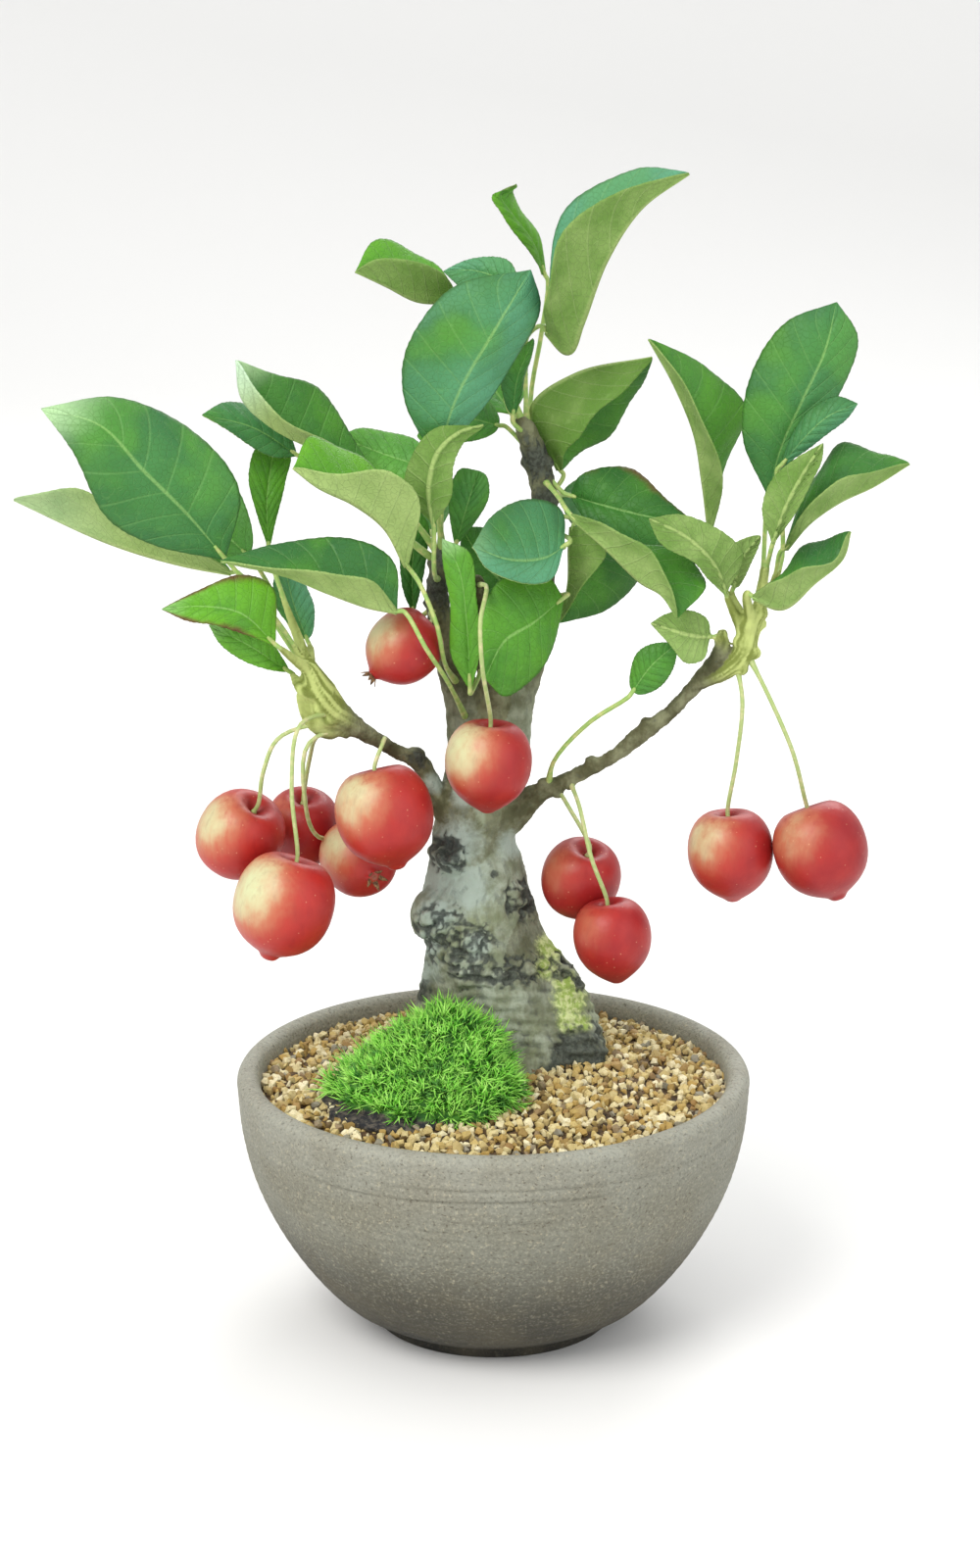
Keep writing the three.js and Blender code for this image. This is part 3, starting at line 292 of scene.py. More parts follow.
# Each leaf: the limb its stalk leaves and where, its rib, its left and right edge, the stalk's way.
# Its look: upper side from dark to yellow green, a painted sheen on one side of it or the other, under side
# from olive to pale, scorched rim, pale tip.
leafLabels = ("tone", "sheen", "under", "brown", "pale")
leaves = {
    "leaf_apex_1": {"limb": ("leader_right", 0.98), "look": (0.15, -0.9, 0.35, 0, 0),
        "rib": [(12.4, 170.6, -9), (17, 166, -7), (20, 172.6, -4), (25.5, 187, -2), (33.5, 199, 0),
            (44.5, 207, 2)],
        "left": [(12.8, 183, -12), (18, 200, -13), (31.6, 208, -8)], "right": [(11.6, 179, 3),
            (15.4, 192, 5), (27.6, 202, 4)], "route": [(7.4, 158, -21), (7.6, 169, -15)]},
    "leaf_apex_2": {"limb": ("leader_right", 0.9), "look": (0.8, 0, 0.3, 0, 0),
        "rib": [(12, 183.5, -20), (9.4, 191, -17), (4.4, 197.8, -14), (2, 201.6, -13), (5.6, 203.6, -15)],
        "left": [(7.6, 189.8, -14), (2.2, 197, -11), (-0.2, 201.4, -11)], "right": [(10.6, 192, -21),
            (6.4, 198.6, -19), (4.4, 202.4, -17)], "route": [(8.6, 156, -31), (11, 170, -27)]},
    "leaf_apex_3": {"limb": ("leader_right", 1), "look": (0.85, 0.1, 0.35, 0, 0),
        "rib": [(-8, 178, -14), (-17, 178, -11), (-24, 181.2, -9), (-31.4, 184.6, -7)],
        "left": [(-12, 184.5, -8), (-19, 186.4, -5), (-26, 187.4, -5)], "right": [(-13, 186, -18),
            (-20, 190, -18), (-27.5, 191.2, -13)]},
    "leaf_apex_4": {"limb": ("leader_right", 0.92), "look": (0.3, 0.9, 0.5, 0, 0),
        "rib": [(6, 176, -20), (2, 182, -25), (-4, 184.5, -28), (-11.5, 184.4, -30)],
        "left": [(1, 175, -20), (-3, 178, -23), (-8, 181, -27)], "right": [(4.5, 185.5, -24),
            (0.5, 187.6, -28), (-6, 186.8, -30)], "route": [(2.6, 156, -24)]},
    "leaf_apex_5": {"limb": ("leader_left", 1), "look": (0.15, 0.8, 0.4, 0, 0),
        "rib": [(-13, 141, 2), (-8, 156, 5), (0, 170, 5), (8.6, 184.6, 0)],
        "left": [(-20.6, 155, 3), (-19.4, 169, 4), (-9, 181, 1)], "right": [(-1.5, 154, -1),
            (6, 165, -3), (10.8, 176, -4)]},
    "leaf_apex_6": {"limb": ("leader_right", 0.86), "look": (0.5, 0.2, 0.4, 0, 0),
        "rib": [(1.5, 149, -19), (-7, 150.5, -12), (-17.4, 146.8, -8)],
        "left": (-9, 145, -9), "right": (-6, 157, -17)},
    "leaf_apex_7": {"limb": ("leader_right", 0.97), "look": (0.1, 0.1, 0.3, 0, 0),
        "rib": [(4.6, 151.4, -10.5), (5.8, 160, -8.5), (9.4, 168.6, -7)],
        "left": (2.2, 161, -6.5), "right": (7.2, 159.6, -12)},
    "leaf_upper_1": {"limb": ("leader_left", 0.98), "look": (0.35, 0.1, 0.85, 0, 1),
        "rib": [(-28, 138.6, -10), (-40, 143.6, -6), (-50, 148.4, -2), (-57, 155, 2), (-58.4, 163.8, 4)],
        "left": [(-37.6, 145.4, -3), (-48.6, 150.6, 4), (-54, 157, 6)], "right": [(-33, 147.4, -11),
            (-38.6, 157.4, -12), (-49, 160.4, -6)]},
    "leaf_upper_2": {"limb": ("leader_left", 0.3), "look": (0.85, 0, 0.75, 0, 0),
        "rib": [(-19.6, 117, 4), (-24.6, 126, 7), (-32, 131.6, 9), (-40, 135.2, 10), (-45.6, 139.6, 10)],
        "left": [(-17, 131, 13), (-22, 138.6, 15), (-35, 137.8, 12)], "right": [(-24, 134, 0),
            (-32, 143, -2), (-42, 146.6, 3)], "route": [(-11.2, 94.6, 3), (-13, 103.4, 9),
            (-16.8, 112.6, 7)]},
    "leaf_upper_3": {"limb": ("leader_left", 0.94), "look": (0.15, 0.3, 0.5, 0, 0),
        "rib": [(-45, 142.4, -9), (-55, 148.6, -5), (-66.5, 151.6, -1)],
        "left": [(-49.6, 141.6, -5), (-56, 144.6, -3), (-61.4, 148.4, -1)], "right": [(-48, 150, -10),
            (-54.6, 153.6, -10), (-61.6, 154.2, -6)]},
    "leaf_upper_4": {"limb": ("leader_left", 0.9), "look": (0.75, 0.2, 0.4, 0, 0),
        "rib": [(-14, 139, -14), (-25, 142.5, -18), (-35, 146.5, -22)],
        "left": (-25, 137, -15), "right": [(-17.6, 145.6, -20), (-25, 147.8, -23), (-31, 148.2, -24)]},
    "leaf_left_1": {"limb": ("branch_left", 1), "look": (0.55, 0, 0.4, 0, 0),
        "rib": [(-51.4, 121, -4), (-51.8, 132, -6), (-49.6, 147, -14)],
        "left": [(-54, 128, -5), (-56, 137, -6), (-54.6, 143.6, -10)], "right": [(-49.6, 128, -6),
            (-47.6, 136, -9), (-46.4, 142, -13)]},
    "leaf_left_2": {"limb": ("branch_left", 0.93), "look": (0.12, 0.2, 0.5, 0, 0.9),
        "rib": [(-61.5, 118.6, 8), (-70, 128.5, 11), (-80, 138.5, 13), (-90, 149, 12), (-103.6, 153, 8)],
        "left": [(-78, 121.5, 14), (-89, 128, 16), (-96.5, 143, 13)], "right": [(-58, 134, 7),
            (-68, 147.6, 5), (-86, 155.4, 6)], "route": [(-48.6, 103, 8.6)]},
    "leaf_left_3": {"limb": ("branch_left", 0.87), "look": (0.5, 0.1, 0.55, 0, 0.3),
        "rib": [(-60, 115.6, -3), (-72, 117.8, -5), (-88, 122.6, -7), (-109.6, 132.4, -8)],
        "left": [(-73, 124, 2), (-88, 133, 3), (-98, 134.4, -1)], "right": [(-70, 126, -14),
            (-83, 132, -17), (-97, 134, -13)], "route": [(-47, 99, 1)]},
    "leaf_left_4": {"limb": ("leader_left", 0.1), "look": (0.12, 0.1, 0.65, 0, 0),
        "rib": [(-22, 106.6, 12), (-29, 107.8, 14), (-38, 111, 16), (-48, 115, 17), (-62.4, 118.2, 17)],
        "left": [(-28, 113.4, 19), (-37, 115.4, 21), (-50, 116.2, 20)], "right": [(-22.6, 117.6, 10),
            (-36, 123.8, 9), (-50, 121.8, 12)], "route": [(-10.6, 90.5, 4), (-15.5, 98, 12.5)]},
    "leaf_left_5": {"limb": ("branch_left", 0.985), "look": (1.2, 0, 0.8, 0.95, 0.3),
        "rib": [(-50, 99, 16), (-58, 106, 21), (-67, 107.6, 22), (-76, 107, 22)],
        "left": [(-56.4, 101, 20), (-63.4, 103.2, 23), (-70, 104.2, 23)], "right": [(-50.6, 112, 15),
            (-57.6, 115, 17), (-67.6, 111.2, 20)]},
    "leaf_left_6": {"limb": ("branch_left", 0.85), "look": (1.2, 0.1, 1, 0, 0.3),
        "rib": [(-47, 92.8, 5), (-55, 98, 12), (-65, 103.2, 15)],
        "left": [(-51, 93, 9.6), (-57.4, 95.2, 12), (-62.6, 99, 14)], "right": [(-49.4, 97.6, 6.4),
            (-53, 102.4, 10), (-60, 104, 13)], "route": [(-44.2, 88.4, 9.4)]},
    "leaf_left_7": {"limb": ("branch_left", 1), "look": (0.3, 0.8, 0.5, 0, 0),
        "rib": [(-42.6, 100, -7), (-45.6, 108, -11), (-48, 118, -18)],
        "left": (-50.2, 109, -10), "right": (-41.8, 110, -14)},
    "leaf_middle_1": {"limb": ("leader_left", 0.84), "look": (0.5, 0, 0.3, 0, 0),
        "rib": [(-13.8, 127, 6), (-14.6, 135, 9), (-12.6, 142.6, 9.5), (-8, 147, 8), (-2.4, 148.6, 5)],
        "left": [(-9.8, 132, 8), (-9.2, 139.4, 9), (-7, 145, 7.4)], "right": [(-20, 133, 4),
            (-18.8, 142, 5), (-13, 148.4, 5.4)], "route": [(-13.6, 116, 2)]},
    "leaf_middle_2": {"limb": ("leader_left", 0.97), "look": (0.45, 0.2, 0.5, 0, 0),
        "rib": [(-8.6, 121.6, -3), (-6, 130.5, -2), (-3.4, 138.6, -4)],
        "left": [(-10, 128, -3), (-10, 134, -3), (-7.6, 139, -4)], "right": [(-4, 127, -4),
            (-1, 133, -4), (-1.6, 137.4, -4)]},
    "leaf_middle_3": {"limb": ("leader_right", 0.62), "look": (0.05, -0.7, 0.6, 0, 0.2),
        "rib": [(16.4, 121.6, 5), (11.5, 118.6, 9), (4, 118.2, 12), (-4.6, 121.4, 14)],
        "left": [(13, 113.4, 15), (5, 113.4, 18), (-1.4, 116, 17)], "right": [(15.6, 129.4, -3),
            (7.4, 132.6, 0), (-0.6, 128.2, 8)]},
    "leaf_middle_4": {"limb": ("leader_right", 0.45), "look": (0.5, 0, 0.1, 0, 0),
        "rib": [(16, 109.4, 3), (9, 103.6, 9), (2.6, 99.6, 11.5), (-2, 91, 12)],
        "left": [(14, 99, 6), (9.4, 91, 10), (2.6, 86.8, 12)], "right": [(12, 115, 2), (1.6, 114, 7),
            (-3, 104, 11)], "route": [(12.6, 109.6, -3)]},
    "leaf_middle_5": {"limb": ("twig_front", 0.3), "look": (0.8, 0.1, 0.4, 0, 0.6),
        "rib": [(-5.4, 89, 3), (-6.2, 104, 6), (-8, 116, 7), (-11.8, 123, 6)],
        "left": [(-9.6, 96, 4), (-10, 108, 5), (-11.6, 118, 5)], "right": [(-3, 98, 6), (-4, 110, 7),
            (-5.6, 120, 7)]},
    "leaf_middle_6": {"limb": ("leader_left", 0.7), "look": (0.2, 0, 0.2, 0, 0),
        "rib": [(-18.4, 106, -14), (-18.6, 117, -15), (-17, 129.4, -15)],
        "left": [(-20.6, 111, -14), (-21.4, 120, -15), (-20, 127, -15)], "right": [(-16.8, 111, -14),
            (-15.2, 120, -15), (-14.8, 126, -15)]},
    "leaf_inner_1": {"limb": ("leader_right", 0.7), "look": (0.4, 0.1, 0.15, 0, 0),
        "rib": [(15.4, 139, -18), (9.2, 152.6, -19), (19, 160.2, -19), (36.4, 164, -14)],
        "left": [(17, 143.5, -12), (22.5, 149.5, -10), (30, 157, -10)], "right": [(19, 141.5, -22),
            (27, 147.5, -25), (33.4, 156.5, -21)]},
    "leaf_inner_2": {"limb": ("leader_right", 0.84), "look": (0.15, 0, 0.3, 0.9, 0),
        "rib": [(17.6, 133, -12.6), (24, 131, -9), (34, 128.5, -6), (46.4, 126.4, -4)],
        "left": [(20, 137.6, -12), (31, 139.6, -13), (40, 131.8, -8)], "right": [(21, 127.6, -8),
            (29, 122.6, -5), (38, 120.4, -3)]},
    "leaf_inner_3": {"limb": ("leader_right", 0.79), "look": (0.35, 0, 0.45, 0, 0),
        "rib": [(18, 128.5, 4), (26, 121.5, 8), (33.6, 113.8, 11), (38.6, 110.6, 14), (42.4, 105, 16)],
        "left": [(30, 122.6, 5), (44.5, 119.6, 6), (48.8, 112.6, 10)], "right": [(26.4, 126, 12),
            (35, 121, 16), (40.4, 113, 18)], "route": [(15, 132.4, -4)]},
    "leaf_inner_4": {"limb": ("leader_right", 0.66), "look": (0.15, 0, 0.25, 0, 0),
        "rib": [(18.4, 125.6, -6), (17.8, 120, -4), (17.4, 112, -5), (15.2, 103.6, -6)],
        "left": [(27, 120.4, -12), (34.4, 114, -14), (26, 106.8, -10)], "right": [(22.6, 125.4, 0),
            (25.6, 120, 2), (19.6, 110.6, 0)]},
    "leaf_right_1": {"limb": ("spur_right", 0.62), "look": (0.5, 0, 0.35, 0, 0),
        "rib": [(53, 110.8, 7), (50, 117.5, 12), (44, 123.4, 14), (35.5, 127.6, 15)],
        "left": [(57.4, 119, 9), (53.4, 124, 11), (43, 128.6, 13)], "right": [(49.4, 113.6, 12),
            (46, 117.6, 14), (38.4, 121.8, 16)]},
    "leaf_right_2": {"limb": ("spur_right", 0.73), "look": (0.6, 0, 0.5, 0, 0),
        "rib": [(55, 112, 3), (56.6, 118, 3), (61, 123.8, 2)],
        "left": (58.8, 117.2, 3), "right": (53, 120, 3)},
    "leaf_right_3": {"limb": ("branch_right", 0.97), "look": (0.6, 0, 0.45, 0, 0),
        "rib": [(49.6, 100.6, 8), (44.6, 101, 10), (36, 103.6, 10)],
        "left": [(49, 104.6, 8), (45, 106.6, 8), (39.6, 105.8, 9)], "right": [(48, 95.4, 9),
            (44, 94.6, 11), (40.2, 99, 11)]},
    "leaf_right_4": {"limb": ("branch_right", 0.14), "look": (0.35, 0.1, 0.4, 0, 0),
        "rib": [(31.8, 88, 4), (36, 93.8, 6), (41.6, 98.8, 6)],
        "left": (33.4, 97.4, 4), "right": (39.6, 90.6, 6), "route": [(14, 72.4, -4), (22, 81, 0)]},
    "leaf_right_5": {"limb": ("spur_right", 0.67), "look": (0.45, 0.1, 0.45, 0, 0),
        "rib": [(50, 125, -7), (48.6, 136, -5), (46.4, 147, -3), (42, 158, -1), (36, 168.8, 2)],
        "left": [(52.6, 135.5, 0), (49.6, 146.5, 4), (44.4, 157.6, 5)], "right": [(52.8, 138, -8),
            (57.6, 152.4, -10), (50, 161.8, -8)], "route": [(53, 112, -6)]},
    "leaf_right_6": {"limb": ("spur_right", 1), "look": (0.2, 0.3, 0.3, 0, 0),
        "rib": [(63, 133, 0), (66, 144, 3), (71, 155, 4), (76, 166, 3), (78.6, 177.2, 0)],
        "left": [(57, 146, 1), (58.6, 160, 1), (66.4, 172.4, 0)], "right": [(72, 146, 2),
            (80.4, 158.4, 1), (83.6, 169, 0)], "route": [(61.8, 117, -4)]},
    "leaf_right_7": {"limb": ("spur_right", 0.82), "look": (0.15, 0.45, 0.4, 0, 0),
        "rib": [(66, 140, 8), (71, 146, 10), (76.5, 151, 11), (83.4, 154, 10)],
        "left": [(68.4, 147, 8), (72.6, 152.6, 8), (78.4, 155.6, 9)], "right": [(70.6, 142.6, 9),
            (75.6, 146.4, 10), (81, 150.6, 10)], "route": [(65.8, 117, 3.5), (65.8, 131, 5)]},
    "leaf_right_8": {"limb": ("spur_right", 0.99), "look": (0.4, 0.2, 0.3, 0, 0),
        "rib": [(64.2, 122.4, 13), (67, 130, 16), (71, 137.6, 17), (75.6, 144.8, 17)],
        "left": [(69, 128.6, 17), (72.6, 135.4, 18), (75, 140.4, 18)], "right": [(61.6, 129, 14),
            (63.6, 136.4, 14), (69.4, 141.4, 15)], "route": [(62, 113.6, 6.5)]},
    "leaf_right_9": {"limb": ("spur_right", 0.93), "look": (0.2, 0.1, 0.45, 0, 0),
        "rib": [(66.6, 121, 8), (72, 127, 12), (79, 131.8, 13), (86.6, 135.4, 13), (95, 140.6, 12)],
        "left": [(72.4, 136, 4), (79.6, 144.6, 3), (89, 142.8, 7)], "right": [(70.6, 128.6, 15),
            (77.6, 135.8, 18), (86, 138.2, 16)], "route": [(64.2, 113, 5)]},
    "leaf_right_10": {"limb": ("spur_right", 0.78), "look": (0.2, 0.2, 0.5, 0, 0),
        "rib": [(59.6, 110, 11), (66, 107.6, 13), (73, 113.2, 15), (79.4, 118.6, 14), (81.2, 124.8, 12)],
        "left": [(66, 115.4, 8), (71.6, 121.6, 6), (77.4, 123.6, 9)], "right": [(64, 113.4, 17),
            (70, 116, 19), (77.6, 117.8, 18)]},
    "leaf_back_1": {"limb": ("leader_right", 0.87), "look": (0.4, 0.2, 0.5, 0, 0),
        "rib": [(4, 152, -29), (-3, 162, -43), (-8, 170, -58)],
        "left": (-14, 160, -41), "right": (6, 167, -47)},
    "leaf_back_2": {"limb": ("leader_right", 0.78), "look": (0.3, 0.3, 0.5, 0, 0),
        "rib": [(16, 133, -27), (26, 132.6, -42), (36, 130, -57)],
        "left": (26, 138, -44), "right": (24, 123, -38)},
    "leaf_back_3": {"limb": ("leader_left", 0.8), "look": (0.45, 0.2, 0.5, 0, 0),
        "rib": [(-14, 124, -20), (-18, 132, -38), (-25, 140, -56)],
        "left": (-25, 130, -35), "right": (-10, 137, -41)},
    "leaf_back_4": {"limb": ("leader_right", 0.5), "look": (0.1, 0, 0.2, 0, 0),
        "rib": [(8.6, 107, -24), (3, 112, -28), (-3, 118.5, -32), (-7, 125, -37)],
        "left": (-4.6, 108, -29), "right": (5, 122, -33)},
    "leaf_back_5": {"limb": ("branch_left", 0.8), "look": (0.5, 0.2, 0.5, 0, 0),
        "rib": [(-56, 119, -19), (-68, 130, -30), (-80, 138, -46)],
        "left": (-76, 124, -30), "right": (-62, 138, -32), "route": [(-39, 88, -8), (-49, 108, -22)]},
}


# Shader maths: a Value wraps a socket, and an expression on values adds its Math nodes
class Value:
    def __init__(self, shader, socket):
        self.shader = shader
        self.socket = socket

    def math(self, operation, *values):
        inputs = dict(enumerate(values))
        return self.shader.node("ShaderNodeMath", {"operation": operation}, inputs)

    def __add__(self, other):
        return self.math("ADD", self, other)

    def __sub__(self, other):
        return self.math("SUBTRACT", self, other)

    def __rsub__(self, other):
        return self.math("SUBTRACT", other, self)

    def __mul__(self, other):
        return self.math("MULTIPLY", self, other)

    def __truediv__(self, other):
        return self.math("DIVIDE", self, other)

    def __pow__(self, other):
        return self.math("POWER", self, other)

    def __abs__(self):
        return self.math("ABSOLUTE", self)

    __radd__ = __add__
    __rmul__ = __mul__

    def fraction(self):
        return self.math("FRACT", self)

    # 0 at low and 1 at high, smooth between the two; low may be the greater
    def between(self, low, high):
        settings = {"interpolation_type": "SMOOTHSTEP"}
        return self.shader.node("ShaderNodeMapRange", settings, {0: self, 1: low, 2: high})


# A colour as a screen shows it, 0 to 255, made linear for the shaders
def colour(red, green, blue):
    linear = []
    for part in (red, green, blue):
        share = part / 255
        linear.append(share / 12.92 if share < 0.04045 else ((share + 0.055) / 1.055) ** 2.4)
    return (*linear, 1)


class Shader:
    def __init__(self, name):
        self.material = bpy.data.materials.new(name)
        self.material.use_nodes = True
        self.tree = self.material.node_tree
        self.tree.nodes.clear()
        self.place = self.node("ShaderNodeTexCoord", output="Object")
        self.paint = None  # what coat() has laid on so far

    def node(self, kind, settings=None, inputs=None, output=0):
        made = self.tree.nodes.new(kind)
        for label, setting in (settings or {}).items():
            if label == "stops":
                elements = made.color_ramp.elements
                while len(elements) < len(setting):
                    elements.new(1)
                for element, (at, paint) in zip(elements, setting):
                    element.position = at
                    element.color = paint
            else:
                setattr(made, label, setting)
        for label, value in (inputs or {}).items():
            if isinstance(value, Value):
                self.tree.links.new(value.socket, made.inputs[label])
            else:
                made.inputs[label].default_value = value
        return None if output is None else Value(self, made.outputs[output])

    def blend(self, factor, first, second):
        settings = {"data_type": "RGBA", "blend_type": "MIX"}
        return self.node("ShaderNodeMix", settings, {0: factor, 6: first, 7: second}, output=2)

    # Lays a colour over the paint so far, as thick as the factor says
    def coat(self, factor, *shade):
        self.paint = self.blend(factor, self.paint, colour(*shade))

    # Noise with features of about this size in metres
    def noise(self, size, detail=3.0, rough=0.55, at=None):
        inputs = {"Vector": at or self.place, "Scale": 1 / size, "Detail": detail, "Roughness": rough}
        return self.node("ShaderNodeTexNoise", None, inputs)

    def cells(self, size, feature):
        inputs = {"Vector": self.place, "Scale": 1 / size, "Randomness": 1.0}
        return self.node("ShaderNodeTexVoronoi", {"feature": feature}, inputs)

    # The place with each axis scaled, so that a pattern on it is stretched where the factor is small
    def stretched(self, factors, turn=(0, 0, 0)):
        inputs = {"Vector": self.place, "Scale": factors, "Rotation": turn}
        return self.node("ShaderNodeMapping", None, inputs)

    # The three numbers of a vector
    def parts(self, vector):
        axes = ("X", "Y", "Z")
        return [self.node("ShaderNodeSeparateXYZ", None, {0: vector}, output=axis) for axis in axes]

    def uv(self):
        return self.parts(self.node("ShaderNodeUVMap", {"uv_map": "surface"}))[:2]

    # A number that the mesh keeps for each of its points
    def number(self, label):
        return self.node("ShaderNodeAttribute", {"attribute_name": label}, output="Fac")

    def bump(self, height, distance):
        inputs = {"Height": height, "Distance": distance, "Strength": 1.0}
        return self.node("ShaderNodeBump", None, inputs)

    # The material, with the paint laid on so far and the sockets that are named
    def finish(self, **sockets):
        inputs = {label.replace("_", " "): value for label, value in sockets.items()}
        surface = self.node("ShaderNodeBsdfPrincipled", None, {"Base Color": self.paint, **inputs})
        self.node("ShaderNodeOutputMaterial", None, {"Surface": surface}, output=None)
        return self.material


limbLines = {name: Line(placed(points)) for name, points in limbs.items()}
limbRadii = {name: [p[3] for p in points] for name, points in limbs.items()}


# Leaves: a blade with a midrib, side veins, puffed panels between them and a toothed edge.
# Lengths are in mm, places across and along are shares.
leafForm = {
    "rows": 60,
    "columns": (0, 0.035, 0.1, 0.2, 0.34, 0.5, 0.66, 0.82, 0.94, 1),
    "thickness": 0.34,
    "rimThickness": 0.6,
    "rib": 0.5,
    "ribWidth": 0.07,
    "ribThins": 0.7,
    "groove": 0.3,
    "grooveWidth": 0.7,
    "veins": 8,
    "veinLean": 0.17,
    "puff": 0.13,
    "arch": 0.06,
    "teeth": 24,
    "tooth": 0.2,
    "wave": 0.05,
    "waveShift": 0.35,
    "fill": 0.97,
    "tip": 0.12,
    "base": 0.5,
    "lead": 1.6,
    "stalk": 0.54,
    "stalkFoot": 0.45,
    "stalkThins": 0.18,
    "stalkDrop": 0.25,
    "stalkInto": 0.07,
    "stalkSides": 8,
    "stalkSteps": 22,
}


# Half the width of a plain blade at t, as a share of the widest
def bladeWidth(t):
    return math.sin(math.pi * t ** 0.9) ** 0.72 if 0 < t < 1 else 0.0


# How far an edge stands off the rib at t: it runs through the points given, or swells to a single one
def edgeReach(points, rib):
    if isinstance(points, tuple):
        reach = place(points) - rib.at(0.5)
        return lambda t: reach * bladeWidth(t)
    edge = Line([rib.at(0), *placed(points), rib.at(1)])
    return lambda t: edge.at(t) - rib.at(t)


# A stalk from its place on the limb, by way of the route, into the foot of the rib
def stalkLine(limb, share, route, end, direction):
    start = limbLines[limb].at(share)
    lead = direction * leafForm["lead"] * mm
    return Line([start, *placed(route), end - lead, end])


# Height of the upper face over the blade's own curve, in mm, at a share across and along
def leafRelief(across, t, reach):
    form = leafForm
    phase = (t - form["veinLean"] * across ** 0.9) * form["veins"]
    ripple = -math.cos(2 * math.pi * phase)
    fade = smooth(0, 0.15, t) * smooth(1, 0.85, t)
    fade *= smooth(0, 0.12, across) * smooth(1.02, 0.75, across)
    arch = form["arch"] * reach * 4 * across * (1 - across)
    groove = form["groove"] * bell(across * reach, 0, form["grooveWidth"])
    return arch + fade * form["puff"] * ripple - groove


def leafMesh(name, row, finishes, look):
    form = leafForm
    rib = Line(placed(row["rib"]))
    edges = {-1: edgeReach(row["left"], rib), 1: edgeReach(row["right"], rib)}
    outward = {side: edge(0.5).normalized() for side, edge in edges.items()}
    span = (edges[1](0.5) - edges[-1](0.5)).normalized() * 2 * mm
    rows, columns = form["rows"], form["columns"]
    sides = [(-1, c) for c in reversed(columns[1:])] + [(1, c) for c in columns]
    tops, uv = [], []
    for i in range(rows + 1):
        t = i / rows
        along = rib.along(t)
        least = mix(form["base"], form["tip"], smooth(0, 0.2, t)) * mm
        reaches = {side: edge(t) * form["fill"] + outward[side] * least for side, edge in edges.items()}
        upward = (reaches[1] - reaches[-1] + span).cross(along).normalized()
        swell = math.sin(math.pi * t)
        for side, across in sides:
            reach = reaches[side]
            size = reach.length / mm
            at = rib.at(t) + reach * across
            turns = look["waves"] * t + look["seed"] + form["waveShift"] * side
            ripple = math.sin(2 * math.pi * turns)
            lift = form["wave"] * size * across ** 2 * ripple * swell
            lift += leafRelief(across, t, size)
            if across == 1:
                phase = t * form["teeth"] % 1
                at += reach.normalized() * form["tooth"] * phase * max(swell, 0) ** 0.5 * mm
            tops.append(at + upward * lift * mm)
            uv.append((0.5 + 0.5 * side * across, t))
    wide = len(sides)
    bottoms = []
    for i in range(rows + 1):
        for j in range(wide):
            here = i * wide + j
            before = tops[here - wide] if i > 0 else tops[here]
            after = tops[here + wide] if i < rows else tops[here]
            left = tops[here - 1] if j > 0 else tops[here]
            right = tops[here + 1] if j < wide - 1 else tops[here]
            normal = (right - left).cross(after - before).normalized()
            across = sides[j][1]
            ridge = form["rib"] * (1 - form["ribThins"] * i / rows) * bell(across, 0, form["ribWidth"])
            share = form["rimThickness"] if across == 1 else 1
            bottoms.append(tops[here] - normal * (form["thickness"] * share + ridge) * mm)
    points = tops + bottoms
    uv = uv + uv
    under = len(tops)
    # face materials: 0 the upper side, 1 the under side and the rim, 2 the stalk
    faces, kinds = [], []
    for i in range(rows):
        for j in range(wide - 1):
            a = i * wide + j
            faces.append((a, a + 1, a + 1 + wide, a + wide))
            kinds.append(0)
            faces.append((a + under, a + wide + under, a + 1 + wide + under, a + 1 + under))
            kinds.append(1)
        for j in (0, wide - 1):
            a = i * wide + j
            rim = (a, a + wide, a + wide + under, a + under)
            faces.append(rim if j == 0 else rim[::-1])
            kinds.append(1)
    for i in (0, rows):
        for j in range(wide - 1):
            a = i * wide + j
            rim = (a, a + under, a + 1 + under, a + 1)
            faces.append(rim if i == 0 else rim[::-1])
            kinds.append(1)
    limb, share = row["limb"]
    stalk = stalkLine(limb, share, row.get("route", []), rib.at(0), rib.along(0))
    drop = span.cross(rib.along(0)).normalized() * form["stalkDrop"] * mm
    stalk = Line([*stalk.points[:-1], rib.at(0) - drop, rib.at(form["stalkInto"]) - drop])

    def stalkRadius(t, angle):
        radius = form["stalk"] - form["stalkThins"] * smooth(0.85, 1, t)
        return (radius + form["stalkFoot"] * smooth(0.16, 0, t)) * mm

    first = len(faces)
    sweep(points, faces, stalk, stalkRadius, form["stalkSides"], form["stalkSteps"])
    kinds += [2] * (len(faces) - first)
    uv += [(0.5, 0)] * (len(points) - len(uv))
    values = {label: [look[label]] * len(points) for label in leafLabels}
    return meshPiece(name, points, faces, finishes, kinds, values, uv)


# Wood: the limbs and knots are swept, joined by a remesh and then carved. Lengths are in mm.
woodForm = {
    "voxel": 0.55,
    "sides": 20,
    "stepsPerSpan": 10,
    "samplesPerPoint": 40,
    "lobes": 0.04,
    "soften": 0.5,
    "softenings": 3,
    "thick": (3.5, 11),
    "twigs": (2.6, 8),
    "wrinkled": (28, 20),
    "fissure": 0.28,
    "grain": 0.12,
    "lump": 0.5,
    "ring": 0.12,
    "band": 0.5,
    "scale": 0.4,
    "gap": 0.45,
    "fibre": 0.3,
    "sheathLength": 9,
    "sheathFoot": 1.5,
    "sheathTip": 0.62,
    "budLargest": 1.5,
    "budSunk": 0.2,
    "seed": 7.3,
}

